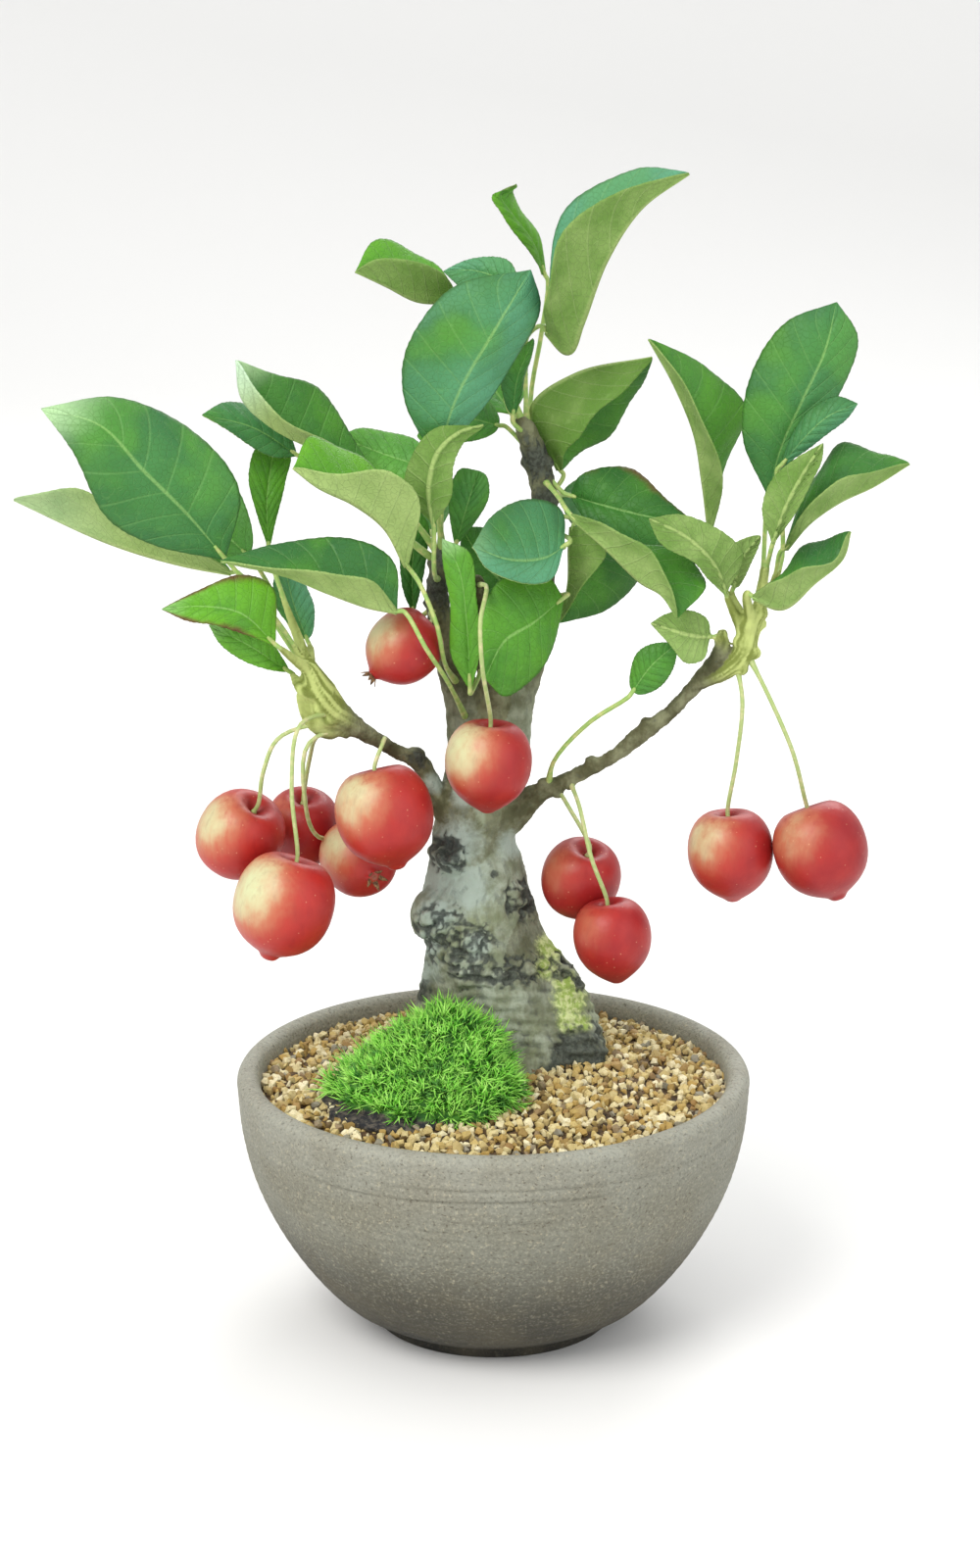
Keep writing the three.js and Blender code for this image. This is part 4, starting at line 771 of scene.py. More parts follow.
# Marks on the front of the wood, as seen: across, up and radius, then depth for the hollows and
# height for the burrs
hollows = [(-10.7, 52.2, 2.6, 1.5), (0.4, 46.2, 1, 0.5), (16.6, 26.6, 1.7, 1.4), (19.7, 21.3, 1.1, 0.9),
    (16.2, 23.4, 1, 0.9)]
burrs = [(-5.2, 30.4, 2.5, 1), (-2.4, 24.6, 2.4, 0.7), (-12, 32.4, 2.6, 1), (1.6, 22.6, 1.8, 0.5),
    (6.3, 41.3, 2.9, 0.9), (8.8, 37.4, 1.8, 0.6), (8.1, 24.3, 1.9, 0.6), (-9.4, 27, 2, 0.8),
    (-15, 36.2, 2.2, 0.9), (-8.6, 50, 1.8, 0.6), (-9, 37, 1.8, 0.5)]
frostMarks = [(-11.6, 45.6, 8), (-8, 53.5, 7), (-6, 43, 7), (-3.6, 30, 4), (-16, 24, 4.5), (-7, 64, 3.5),
    (-12.4, 37, 5.5), (-15, 30, 4), (-13.6, 67, 3), (4, 53, 4)]
limeMarks = [(17.6, 17.4, 4.6), (16.4, 21.4, 3), (13, 29.6, 3.6), (12, 24.8, 3), (17.4, 12.4, 3.4),
    (20.4, 12, 2.4)]
# The dark marks are painted shade under the leaves, in forks and hollows; the first three darken the foot on
# the right
darkMarks = [(19, 5.4, 6.5), (24, 3.4, 5), (14.6, 1.4, 4), (-17, 19, 3), (9, 41.6, 2.6), (19.8, 21.2, 2),
    (-17, 73, 2.8), (10.4, 141, 6.5), (12.4, 132, 5), (-12.6, 111, 6), (-11.4, 119, 4)]
scaleMarks = [(-13, 32.4, 7), (-5, 28, 7), (2.4, 23.6, 4), (7.4, 40.4, 5), (-10.6, 51, 5), (8, 24.6, 4),
    (16.4, 25.6, 4), (21, 5, 7)]
# A swollen fruiting spur below the left shoot: a line of [across, up, front, radius]
spurSwelling = [(-33.5, 81.5, 1, 2), (-37.6, 79.8, 2, 2.9), (-41.6, 82.2, 4, 2.3), (-44.2, 88, 6, 1.2)]
# Shoots still green: limb, and the shares of its length where the green begins and is full
youngShoots = {"branch_left": (0.66, 0.84), "spur_right": (0.0, 0.3), "branch_right": (0.9, 1)}
neverYoung = (2, 3)
# What carving notes for the bark's colours: painted shade in creases and dark marks, pale and yellow-green
# lichen, thin wood, green shoots and the fibres on them
barkLabels = ("dark", "frost", "lime", "twig", "young", "fibre")


# Where a point of the tree is seen, across and up in mm: the reverse of place()
def seenFrom(point):
    cosTilt = math.cos(eye["tilt"])
    sinTilt = math.sin(eye["tilt"])
    offset = (point - potAxis) / mm - Vector(eye["lookedAt"])
    depth = eye["distance"] + offset.y * cosTilt - offset.z * sinTilt
    scale = eye["distance"] / depth
    x = offset.x * scale
    y = (offset.y * sinTilt + offset.z * cosTilt) * scale
    return x - eye["across"], y - eye["up"]


# Places along every limb, each with its direction, its radius, the length of limb up to it in mm,
# the limb and t, and a tree to find the nearest of them
def limbSamples():
    places = []
    for name, line in limbLines.items():
        count = woodForm["samplesPerPoint"] * len(line.points)
        travelled = 0.0
        before = line.at(0)
        for i in range(count + 1):
            t = i / count
            at = line.at(t)
            travelled += (at - before).length / mm
            before = at
            radius = stepValue(limbRadii[name], t)
            places.append((at, line.along(t), radius, travelled, name, t))
    tree = kdtree.KDTree(len(places))
    for i, row in enumerate(places):
        tree.insert(row[0], i)
    tree.balance()
    return places, tree


# The place whose surface is nearest, with a little weight for its line being near too
def nearestLimb(point, places, tree):
    best, least = None, math.inf
    tried, weight = 10, 0.15
    for _, index, distance in tree.find_n(point, tried):
        gap = abs(distance / mm - places[index][2]) + weight * distance / mm
        if gap < least:
            best, least = places[index], gap
    return best


# A burr across its radius: a swollen ring with a furrow round it
def ringShape(share):
    return bell(share, 0.55, 0.3) - 0.9 * bell(share, 1.15, 0.2)


def carve(mesh):
    form = woodForm
    places, tree = limbSamples()
    paints = {label: [] for label in barkLabels}
    moved = []
    offset = Vector((form["seed"], 1.7, 4.1))
    for vertex in mesh.vertices:
        point = vertex.co
        at, along, radius, travelled, name, t = nearestLimb(point, places, tree)
        out = point - at
        out = (out - along * out.dot(along)).normalized()
        thick = smooth(*form["thick"], radius)
        across, up = seenFrom(point)
        # marks fade where the surface turns away from the viewer, lichen a little later
        front = smooth(0.15, -0.25, vertex.normal.y)
        facing = smooth(0.75, 0.1, vertex.normal.y)
        # long fissures on the thick wood, finer ones on the branches
        around = out * mix(1.9, 5.2, thick) + along * travelled * mix(0.22, 0.16, thick)
        fissure = noise.noise(around + offset)
        fissure = -abs(fissure) + 0.5 * noise.noise(around * 2.3 + offset)
        grain = noise.noise(point / mm * 1.15 + offset)
        lump = noise.noise(point / mm * 0.13 + offset)
        begin, full = youngShoots.get(name, neverYoung)
        young = smooth(begin, full, t)
        height = form["fissure"] * fissure * mix(0.6, 1.2, thick) + form["grain"] * grain
        height += form["lump"] * lump * mix(0.25, 1.6, thick)
        fibre = noise.noise(out * 3.4 + along * travelled * 0.09 + offset)
        fibre += 0.5 * noise.noise(out * 7 + along * travelled * 0.14 + offset)
        height = mix(height, form["fibre"] * fibre, young * 0.85)
        # ring scars on the branches, level wrinkles low on the trunk
        pitch = travelled * 1.5 + 1.6 * noise.noise(point / mm * 0.12)
        height += form["ring"] * (1 - thick) * (1 - young) * math.sin(pitch) ** 3
        low = smooth(*form["wrinkled"], up) * thick
        wrinkle = up * 2.5 + 3.2 * noise.noise(Vector((across * 0.16, up * 0.07, 3)))
        height += form["band"] * low * math.sin(wrinkle)
        # Painted shade, kept as crease: darker in the fissures, the level wrinkles, the gaps between plates,
        # the hollows and the furrows round the burrs, and a little over the plates and the burr tops
        crease = smooth(0.12, 0.5, -fissure) * 0.4 * (1 - young)
        patchy = smooth(-0.3, 0.35, noise.noise(point / mm * 0.22))
        crease += low * patchy * smooth(0.1, 0.95, -math.sin(wrinkle)) * 0.85
        wobble = 1 + 0.42 * noise.noise(Vector((across, up, 2)) * 0.42)
        # plates of cracked bark
        scaly = markShare(scaleMarks, across, up) * front
        if scaly > 0:
            warp = noise.noise(point / mm * 0.3) * 2.4
            near, second = noise.voronoi(Vector((across + warp, up * 1.3 - warp, 1.3)) * 0.32)[0][:2]
            broken = smooth(-0.5, 0.1, noise.noise(point / mm * 0.5 + offset)) * smooth(0, 0.35, scaly)
            gap = smooth(0.26, 0.03, second - near) * broken
            height += form["scale"] * smooth(0, 0.3, scaly) * smooth(0.9, 0.1, near) - form["gap"] * gap
            crease += gap * 0.75 + 0.14 * smooth(0, 0.5, scaly)
        for x, y, size, deep in hollows:
            share = math.hypot(across - x, up - y) / size * wobble
            height -= front * deep * smooth(1, 0.35, share)
            height += front * deep * 0.4 * bell(share, 1.25, 0.25)
            crease += 0.75 * front * smooth(1.25, 0.6, share)
        for x, y, size, tall in burrs:
            share = math.hypot(across - x, up - y) / size * wobble
            if share < 2:
                height += front * tall * 0.75 * ringShape(share)
                broken = smooth(-0.45, 0.1, noise.noise(Vector((across, up, 5)) * 0.45))
                crease += front * 0.6 * broken * bell(share, 1.15, 0.17)
                crease += front * 0.15 * bell(share, 0, 0.25)
        # The bark's dark: the painted shade of the creases and of the dark marks
        dark = crease + markShare(darkMarks, across, up) * front
        frost, lime = (markShare(marks, across, up) * facing for marks in (frostMarks, limeMarks))
        strands = 0.5 + 0.8 * fibre - 0.5 * smooth(0.2, 0.7, out.z + 0.25 * lump)
        values = (dark, frost, lime, 1 - smooth(*form["twigs"], radius), young, strands)
        for label, value in zip(barkLabels, values):
            paints[label].append(value)
        moved.append(point + vertex.normal * height * mm)
    for vertex, point in zip(mesh.vertices, moved):
        vertex.co = point
    for label, values in paints.items():
        pointNumbers(mesh, label, values)
    mesh.update()


# How deep a place lies in a mark: 1 at its middle, 0 outside, with a soft edge beyond its radius
def markShare(marks, across, up):
    spread = 1.25
    best = 0.0
    for x, y, size in marks:
        best = max(best, 1 - math.hypot(across - x, up - y) / (size * spread))
    return best


# The mesh of an object with its modifiers applied takes the object's place
def applied(source):
    evaluated = source.evaluated_get(bpy.context.evaluated_depsgraph_get())
    mesh = bpy.data.meshes.new_from_object(evaluated)
    name = source.name
    bpy.data.objects.remove(source)
    mesh.name = name
    made = bpy.data.objects.new(name, mesh)
    scene.collection.objects.link(made)
    return made


# Where leaf and fruit stalks leave the wood: limb, share along it, and the point they grow towards
def stalkFeet():
    feet = []
    for row in [*leaves.values(), *apples.values()]:
        limb, share = row["limb"]
        route = row.get("route") or row.get("stalk") or [row["rib"][0]]
        feet.append((limb, share, place(route[0])))
    return feet


def ball(points, faces, middle, radius, sides=14, rings=9):
    line = Line([middle - Vector((0, 0, radius)), middle + Vector((0, 0, radius))])

    def radiusAt(t, angle):
        return radius * math.sqrt(max(1 - (2 * t - 1) ** 2, 0))

    sweep(points, faces, line, radiusAt, sides, rings, start=0.04, end=0.96)


def makeWood(finish):
    form = woodForm
    points, faces = [], []
    for name, line in limbLines.items():
        radii = limbRadii[name]

        def radiusAt(t, angle):
            return stepValue(radii, t) * mm * (1 + form["lobes"] * math.sin(3 * angle + 9 * t))

        steps = form["stepsPerSpan"] * (len(line.points) - 1)
        sweep(points, faces, line, radiusAt, form["sides"], steps)
        if name != "trunk":
            ball(points, faces, line.at(1), radii[-1] * mm)
    for knot in knots:
        ball(points, faces, place(knot), knot[3] * mm)
    swelling = Line(placed(spurSwelling))
    swellingRadii = [row[3] for row in spurSwelling]

    def swellingRadius(t, angle):
        return stepValue(swellingRadii, t) * mm

    sweep(points, faces, swelling, swellingRadius, sides=14, steps=16)
    # a sheath at the foot of each leaf stalk on a green shoot
    for row in leaves.values():
        limb, share = row["limb"]
        if share > youngShoots.get(limb, neverYoung)[0]:
            rib = Line(placed(row["rib"]))
            line = stalkLine(limb, share, row.get("route", []), rib.at(0), rib.along(0))
            reach = min(form["sheathLength"] * mm / (line.at(1) - line.at(0)).length, 0.8)

            def sheathRadius(t, angle):
                return mix(form["sheathFoot"], form["sheathTip"], t / reach) * mm

            sweep(points, faces, line, sheathRadius, sides=10, steps=14, end=reach)
    # a bud at the foot of every stalk, on the side it leaves, or straight on at a limb's end
    for limb, share, towards in stalkFeet():
        line = limbLines[limb]
        radius = stepValue(limbRadii[limb], share)
        out = towards - line.at(share)
        if share < 0.98:
            out -= line.along(share) * out.dot(line.along(share))
        size = min(form["budLargest"], 0.55 * radius + 0.5)
        middle = line.at(share) + out.normalized() * (radius - form["budSunk"]) * mm
        ball(points, faces, middle, size * mm, sides=10, rings=6)
    rough = meshPiece("trunkWood", points, faces)
    remesh = rough.modifiers.new("join", "REMESH")
    remesh.mode = "VOXEL"
    remesh.voxel_size = form["voxel"] * mm
    remesh.use_smooth_shade = True
    soften = rough.modifiers.new("soften", "SMOOTH")
    soften.factor = form["soften"]
    soften.iterations = form["softenings"]
    wood = applied(rough)
    carve(wood.data)
    wood.data.materials.clear()
    wood.data.materials.append(finish)
    smoothShaded(wood.data)
    return wood


# Fruit: a round body with a stalk pit above and a small nipple with dry sepals below. The outlines
# are in shares of the radius, from the pit down to the nipple; each fruit lies between the two.
fruitForm = {
    "pointed": [(0, 0.66), (0.1, 0.72), (0.24, 0.87), (0.48, 0.93), (0.76, 0.75), (0.95, 0.4),
        (1.0, 0.0), (0.93, -0.38), (0.76, -0.69), (0.54, -0.91), (0.35, -1.05), (0.21, -1.14),
        (0.12, -1.19), (0.05, -1.2), (0, -1.18)],
    "round": [(0, 0.66), (0.1, 0.72), (0.24, 0.87), (0.48, 0.93), (0.76, 0.75), (0.95, 0.4),
        (1.0, 0.0), (0.96, -0.36), (0.84, -0.64), (0.64, -0.84), (0.4, -0.96), (0.24, -1.02),
        (0.17, -1.12), (0.08, -1.17), (0, -1.15)],
    # The blush and its painted highlight face this way
    "light": (-0.72, -0.56, 0.5),
    "sides": 48,
    "rings": 40,
    "lobes": 0.018,
    "uneven": (0.02, 0.012),
    "stalk": 0.5,
    "stalkFoot": 0.45,
    "stalkHead": 0.3,
    "stalkEnd": 0.74,
    "stalkRise": 2.5,
    "stalkSides": 8,
    "stalkSteps": 26,
    "sepals": 5,
    "sepalLine": [(0.06, -1.13, 0.07), (0.14, -1.22, 0.06), (0.2, -1.29, 0.012)],
    "sepalThick": 0.025,
}


def fruitMesh(name, row, finishes, look):
    form = fruitForm
    middle = place(row["at"])
    up = (middle - place(row["tip"])).normalized()
    turn = Vector((0, 0, 1)).rotation_difference(up).to_matrix()
    radius = row["radius"] * mm
    point = look["point"]
    outline = Line([(mix(a[0], b[0], point), 0, mix(a[1], b[1], point))
        for a, b in zip(form["round"], form["pointed"])])
    points, faces, kinds, blush, uv = [], [], [], [], []
    sides, rings = form["sides"], form["rings"]
    light = Vector(form["light"]).normalized()

    def addPoint(point, angle, share):
        world = middle + turn @ point * radius
        toward = (world - middle).normalized()
        points.append(world)
        # How far the point faces the light: the blush, and the painted highlight laid on it
        blush.append(toward.dot(light))
        uv.append((angle / (2 * math.pi), share))

    addPoint(Vector((0, 0, outline.at(0).z)), 0, 0)
    for ring in range(1, rings):
        share = ring / rings
        at = outline.at(share)
        for side in range(sides):
            angle = 2 * math.pi * side / sides
            lobe = 1 + form["lobes"] * math.cos(5 * angle + look["seed"]) * smooth(0.3, 0.9, share)
            lobe += form["uneven"][0] * math.sin(angle + look["seed"])
            lobe += form["uneven"][1] * math.sin(2 * angle - look["seed"])
            addPoint(Vector((at.x * lobe * math.cos(angle), at.x * lobe * math.sin(angle), at.z)),
                angle, share)
    addPoint(Vector((0, 0, outline.at(1).z)), 0, 1)
    last = len(points) - 1
    for side in range(sides):
        after = (side + 1) % sides
        faces.append((0, 1 + side, 1 + after))
        for ring in range(rings - 2):
            a, b = 1 + ring * sides + side, 1 + ring * sides + after
            faces.append((a, a + sides, b + sides, b))
        faces.append((last, last - sides + after, last - sides + side))
    # face materials: 0 the skin, 1 the stalk, 2 the sepals
    kinds += [0] * len(faces)

    # dry sepals round the nipple
    sepalFoot = form["sepalLine"][0][1]
    for index in range(form["sepals"] if look["sepals"] else 0):
        angle = 2 * math.pi * index / form["sepals"] + look["seed"]
        out = ringPoint(angle)
        side = Vector((-out.y, out.x, 0))
        first = len(points)
        for reach, drop, wide in form["sepalLine"]:
            reach, drop = reach * look["sepals"], mix(sepalFoot, drop, look["sepals"])
            for sign in (-1, 1):
                for thick in (0, form["sepalThick"]):
                    addPoint(out * reach + side * wide * sign + Vector((0, 0, drop + thick)), 0, 1)
        for ring in (0, 4):
            a = first + ring
            faces += [(a + 1, a + 3, a + 7, a + 5), (a, a + 4, a + 6, a + 2),
                (a, a + 1, a + 5, a + 4), (a + 2, a + 6, a + 7, a + 3)]
        faces += [(first, first + 2, first + 3, first + 1),
            (first + 8, first + 9, first + 11, first + 10)]
        kinds += [2] * 10

    limb, share = row["limb"]
    end = middle + up * radius * form["stalkEnd"]
    start = limbLines[limb].at(share)
    line = Line([start, *placed(row["stalk"]), end + up * form["stalkRise"] * mm, end])

    def stalkRadius(t, angle):
        thick = form["stalk"] + form["stalkFoot"] * smooth(0.14, 0, t)
        return (thick + form["stalkHead"] * smooth(0.93, 1, t)) * mm

    first, before = len(faces), len(points)
    sweep(points, faces, line, stalkRadius, form["stalkSides"], form["stalkSteps"])
    kinds += [1] * (len(faces) - first)
    added = len(points) - before
    blush += [0] * added
    uv += [(0, i / added) for i in range(added)]
    values = {label: [look[label]] * len(points) for label in ("red", "pale")}
    values["blush"] = blush
    return meshPiece(name, points, faces, finishes, kinds, values, uv)


# Bowl: a turned wall with fine throwing lines, a rolled lip and a foot ring. Outlines are pairs of
# radius and height in mm. Each groove has its height, its depth, and the middle and half its length
# as angles round the bowl.
bowlForm = {
    "radius": 60,
    "flank": [(31, 3.4), (37, 7), (44, 14.5), (51, 25), (56, 36), (59, 48), (60, 58.8)],
    "lipTop": 61.4,
    "lip": 2.6,
    "wall": 5.4,
    "foot": 28.5,
    "footHeight": 3.2,
    "footWidth": 4,
    "floor": 8.5,
    "drain": 6,
    "sides": 180,
    "rings": 150,
    "lipSteps": 14,
    "innerRings": 40,
    "throw": 0.09,
    "throwPitch": 2.9,
    "uneven": 0.16,
    "inset": 0.12,
    "grooves": [(50.6, 0.6, -1.75, 0.75), (53.4, 0.34, -1.2, 1), (45.8, 0.2, -2, 0.8)],
}


# A tool line across the wall: a shallow cut with a fine lip over it
def grooveShape(off):
    return 0.6 * bell(off, 0.55, 0.3) - bell(off, 0, 0.35)


# A closed outline turned round the bowl's axis; wobble adds to the radius, in mm
def turned(name, outline, sides, finish, wobble=None):
    points, faces = [], []
    count = len(outline)
    for side in range(sides):
        angle = 2 * math.pi * side / sides
        for radius, height in outline:
            extra = wobble(radius, height, angle) if wobble else 0
            reach = (radius + extra) * mm
            points.append(potAxis + Vector((reach * math.cos(angle), reach * math.sin(angle), height * mm)))
    for side in range(sides):
        a, b = side * count, (side + 1) % sides * count
        for i in range(count):
            after = (i + 1) % count
            faces.append((a + i, b + i, b + after, a + after))
    return meshPiece(name, points, faces, [finish])


def makeBowl(finish):
    form = bowlForm
    foot, under, floor, drain = form["foot"], form["footHeight"], form["floor"], form["drain"]
    flank = Line([(radius, 0, height) for radius, height in form["flank"]])
    outline = [(foot - 0.5, 0), (foot, 0.5), (foot + 0.1, 2.2), (foot + 0.8, under)]
    for i in range(form["rings"] + 1):
        at = flank.at(i / form["rings"])
        outline.append((at.x, at.z))
    middle, lift = form["radius"] - form["lip"], form["lipTop"] - form["lip"]
    for i in range(1, form["lipSteps"]):
        turn = math.pi * i / form["lipSteps"]
        outline.append((middle + form["lip"] * math.cos(turn), lift + form["lip"] * math.sin(turn)))
    for i in range(form["innerRings"]):
        t = mix(0.985, 0.3, i / (form["innerRings"] - 1))
        at, along = flank.at(t), flank.along(t)
        outline.append((at.x - along.z * form["wall"], at.z + along.x * form["wall"]))
    bevel, footInner = 0.6, foot - form["footWidth"]
    outline += [(34, floor + 0.2), (20, floor), (drain + bevel, floor), (drain, floor - bevel),
        (drain, under + bevel), (drain + bevel, under), (16, under - 0.1), (footInner, under),
        (footInner, 0.5), (footInner + 0.5, 0)]

    def wobble(radius, height, angle):
        # the underside, the foot and the inner floor are left plain
        if height < under + 0.5 or radius < 30:
            return 0
        lines = math.sin(height * form["throwPitch"] + 0.6 * math.sin(angle * 2)) * form["throw"]
        for level, deep, middle, reach in form["grooves"]:
            off = (angle - middle + math.pi) % (2 * math.pi) - math.pi
            level += 0.35 * math.sin(off * 5 + level)
            lines += deep * smooth(reach, reach * 0.7, abs(off)) * grooveShape(height - level)
        lines += form["uneven"] * noise.noise(ringPoint(angle, height * 0.03) * 2.2)
        # the lip stays true, and all stands in a little, so as not to pass the CAD wall
        return lines * smooth(61.5, 55, height) - form["inset"]

    return turned("pot_wall", outline, form["sides"], finish, wobble)


# Geometry Nodes: small shapes strewn over a surface, which stays with them
class Growth:
    def __init__(self, name, inputs):
        self.tree = bpy.data.node_groups.new(name, "GeometryNodeTree")
        self.identifiers = {}
        for label, kind in inputs.items():
            made = self.tree.interface.new_socket(label, in_out="INPUT", socket_type="NodeSocket" + kind)
            self.identifiers[label] = made.identifier
        self.tree.interface.new_socket("Result", in_out="OUTPUT", socket_type="NodeSocketGeometry")
        self.given = self.tree.nodes.new("NodeGroupInput").outputs

    def node(self, kind, settings=None, inputs=None, output=0):
        made = self.tree.nodes.new(kind)
        for label, setting in (settings or {}).items():
            setattr(made, label, setting)
        for label, value in (inputs or {}).items():
            for part in value if isinstance(value, list) else [value]:
                if isinstance(part, bpy.types.NodeSocket):
                    self.tree.links.new(part, made.inputs[label])
                else:
                    made.inputs[label].default_value = part
        return made.outputs[output] if made.outputs else None

    # A random value for each point; the sockets depend on the kind of value
    def random(self, kind, low, high, seed):
        first, output = {"FLOAT_VECTOR": (0, 0), "FLOAT": (2, 1), "INT": (4, 2)}[kind]
        inputs = {first: low, first + 1: high, 8: seed}
        return self.node("FunctionNodeRandomValue", {"data_type": kind}, inputs, output)

    def run(self, target, values):
        modifier = target.modifiers.new("strew", "NODES")
        modifier.node_group = self.tree
        for label, value in values.items():
            modifier[self.identifiers[label]] = value
        return applied(target)


# Points on the surface where it is covered, each with a leaning, turned and scaled shape
def strewing(shapeCount):
    grow = Growth("strewing", {"Surface": "Geometry", "Spacing": "Float", "Density": "Float",
        "Smallest": "Float", "Largest": "Float", "Lean": "Float", "Sink": "Float", "Rise": "Float",
        "Seed": "Int", "Shapes": "Collection", "Finish": "Material"})
    given = grow.given
    cover = grow.node("GeometryNodeInputNamedAttribute", {"data_type": "FLOAT"}, {"Name": "cover"})
    where = {"Mesh": given["Surface"], "Distance Min": given["Spacing"],
        "Density Max": given["Density"], "Density Factor": cover, "Seed": given["Seed"]}
    points = grow.node("GeometryNodeDistributePointsOnFaces", {"distribute_method": "POISSON"}, where)
    spread = points.node.outputs
    lift = grow.random("FLOAT", given["Sink"], given["Rise"], 3)
    offset = grow.node("ShaderNodeVectorMath", {"operation": "SCALE"}, {0: spread["Normal"], 3: lift})
    points = grow.node("GeometryNodeSetPosition", None, {"Geometry": points, "Offset": offset})
    tone = grow.random("FLOAT", 0.0, 1.0, 5)
    points = grow.node("GeometryNodeStoreNamedAttribute", {"data_type": "FLOAT"},
        {"Geometry": points, "Name": "tone", "Value": tone})
    back = grow.node("ShaderNodeMath", {"operation": "MULTIPLY"}, {0: given["Lean"], 1: -1.0})
    low = grow.node("ShaderNodeCombineXYZ", None, {0: back, 1: back, 2: 0.0})
    high = grow.node("ShaderNodeCombineXYZ", None, {0: given["Lean"], 1: given["Lean"], 2: 2 * math.pi})
    turn = grow.random("FLOAT_VECTOR", low, high, 7)
    turn = grow.node("FunctionNodeEulerToRotation", None, {0: turn})
    turn = grow.node("FunctionNodeRotateRotation", {"rotation_space": "LOCAL"},
        {0: spread["Rotation"], 1: turn})
    size = grow.random("FLOAT", given["Smallest"], given["Largest"], 11)
    which = grow.random("INT", 0, shapeCount - 1, 13)
    shapes = grow.node("GeometryNodeCollectionInfo", None,
        {"Collection": given["Shapes"], "Separate Children": True, "Reset Children": True})
    strewn = grow.node("GeometryNodeInstanceOnPoints", None, {"Points": points, "Instance": shapes,
        "Pick Instance": True, "Instance Index": which, "Rotation": turn, "Scale": size})
    strewn = grow.node("GeometryNodeRealizeInstances", None, {0: strewn})
    strewn = grow.node("GeometryNodeSetMaterial", None, {0: strewn, "Material": given["Finish"]})
    whole = grow.node("GeometryNodeJoinGeometry", None, {0: [given["Surface"], strewn]})
    grow.node("NodeGroupOutput", None, {0: whole})
    return grow


# A collection of small shapes for Geometry Nodes to choose from, each a mesh object
def shapeCollection(name, meshes):
    shelf = bpy.data.collections.new(name)
    for index, (points, faces, values) in enumerate(meshes):
        data = bpy.data.meshes.new(name)
        data.from_pydata(points, [], faces)
        for label, numbers in values.items():
            pointNumbers(data, label, numbers)
        smoothShaded(data, bool(values))
        shelf.objects.link(bpy.data.objects.new(name + str(index), data))
    return shelf


# Strews the shapes over a mesh as its form says
def strew(target, name, shapes, finish, form):
    size = form["size"] * mm
    return strewing(len(shapes)).run(target, {"Spacing": form["spacing"] * mm,
        "Density": form["density"], "Smallest": size * form["smallest"],
        "Largest": size * form["largest"], "Lean": form["lean"], "Sink": form["sink"] * mm,
        "Rise": form["rise"] * mm, "Seed": form["seed"], "Shapes": shapeCollection(name, shapes),
        "Finish": finish})


# Gravel: a domed bed with angular grains on it. Lengths are in mm, the lean of a grain in radians.
gravelForm = {
    "edge": 57.6,
    "dome": 3.2,
    "radius": 53.2,
    "wall": 54.6,
    "middle": 0.3,
    "bottom": 53.2,
    "coverFrom": 55,
    "rings": 26,
    "sides": 96,
    "sunk": 0.9,
    "kinds": 7,
    "corners": 13,
    "size": 1.24,
    "smallest": 0.72,
    "largest": 1.3,
    "lean": math.pi,
    "sink": -0.1,
    "rise": 0.9,
    "spacing": 1.3,
    "density": 900000,
    "seed": 21,
}


# The hull of a few random points, about 2 across
def grainShape(dice, corners):
    rough = bmesh.new()
    stretch = Vector((dice.uniform(0.75, 1.3), dice.uniform(0.75, 1.1), dice.uniform(0.55, 0.9)))
    for _ in range(corners):
        ray = Vector((dice.gauss(0, 1), dice.gauss(0, 1), dice.gauss(0, 1))).normalized()
        rough.verts.new(ray * stretch * dice.uniform(0.85, 1.1))
    hull = bmesh.ops.convex_hull(rough, input=rough.verts)
    bmesh.ops.delete(rough, geom=hull["geom_interior"], context="VERTS")
    bmesh.ops.recalc_face_normals(rough, faces=rough.faces)
    points = [v.co.copy() for v in rough.verts]
    rough.verts.index_update()
    faces = [[v.index for v in face.verts] for face in rough.faces]
    rough.free()
    return points, faces, {}


# Height of the bed under the grains, in mm, at a distance from the bowl's axis
def bedHeight(radius):
    form = gravelForm
    return form["edge"] + form["dome"] * (1 - (radius / form["radius"]) ** 2) - form["sunk"]


def makeGravel(underFinish, overFinish):
    form = gravelForm
    outline = [(form["wall"], form["bottom"])]
    for ring in range(form["rings"] + 1):
        radius = mix(form["wall"], form["middle"], ring / form["rings"])
        outline.append((radius, bedHeight(radius)))
    outline.append((form["middle"], form["bottom"]))
    bed = turned("gravel_dressing", outline, form["sides"], underFinish)
    cover = [float(vertex.co.z > form["coverFrom"] * mm) for vertex in bed.data.vertices]
    pointNumbers(bed.data, "cover", cover)
    dice = random.Random(form["seed"])
    shapes = [grainShape(dice, form["corners"]) for _ in range(form["kinds"])]
    return strew(bed, "grain", shapes, overFinish, form)


# Moss: a leaning mound with tufts of needles, on a skirt of dark soil. The mound's middle, half,
# height and topShift and all of a tuft's lengths are in mm, its lean is in radians; the outline,
# the skirt and the bare part are in shares of half and height.
mossForm = {
    "middle": (-17, -19),
    "half": (21, 15.6),
    "height": 22.4,
    "topShift": (7, 9),
    "outline": [(0.86, 0), (0.95, 0.06), (0.99, 0.16), (0.96, 0.28), (0.83, 0.46), (0.58, 0.68),
        (0.33, 0.88), (0.1, 0.97), (0.01, 1)],
    "skirt": 0.13,
    "spill": 0.2,
    "spillAngle": 3.9,
    "bare": 0.085,
    "lumps": 0.15,
    "rings": 34,
    "sides": 72,
    "kinds": 6,
    "needles": 5,
    "size": 4.3,
    "smallest": 0.55,
    "largest": 1.3,
    "lean": 0.6,
    "sink": -1.2,
    "rise": -0.2,
    "spacing": 0.82,
    "density": 1400000,
    "seed": 5,
}


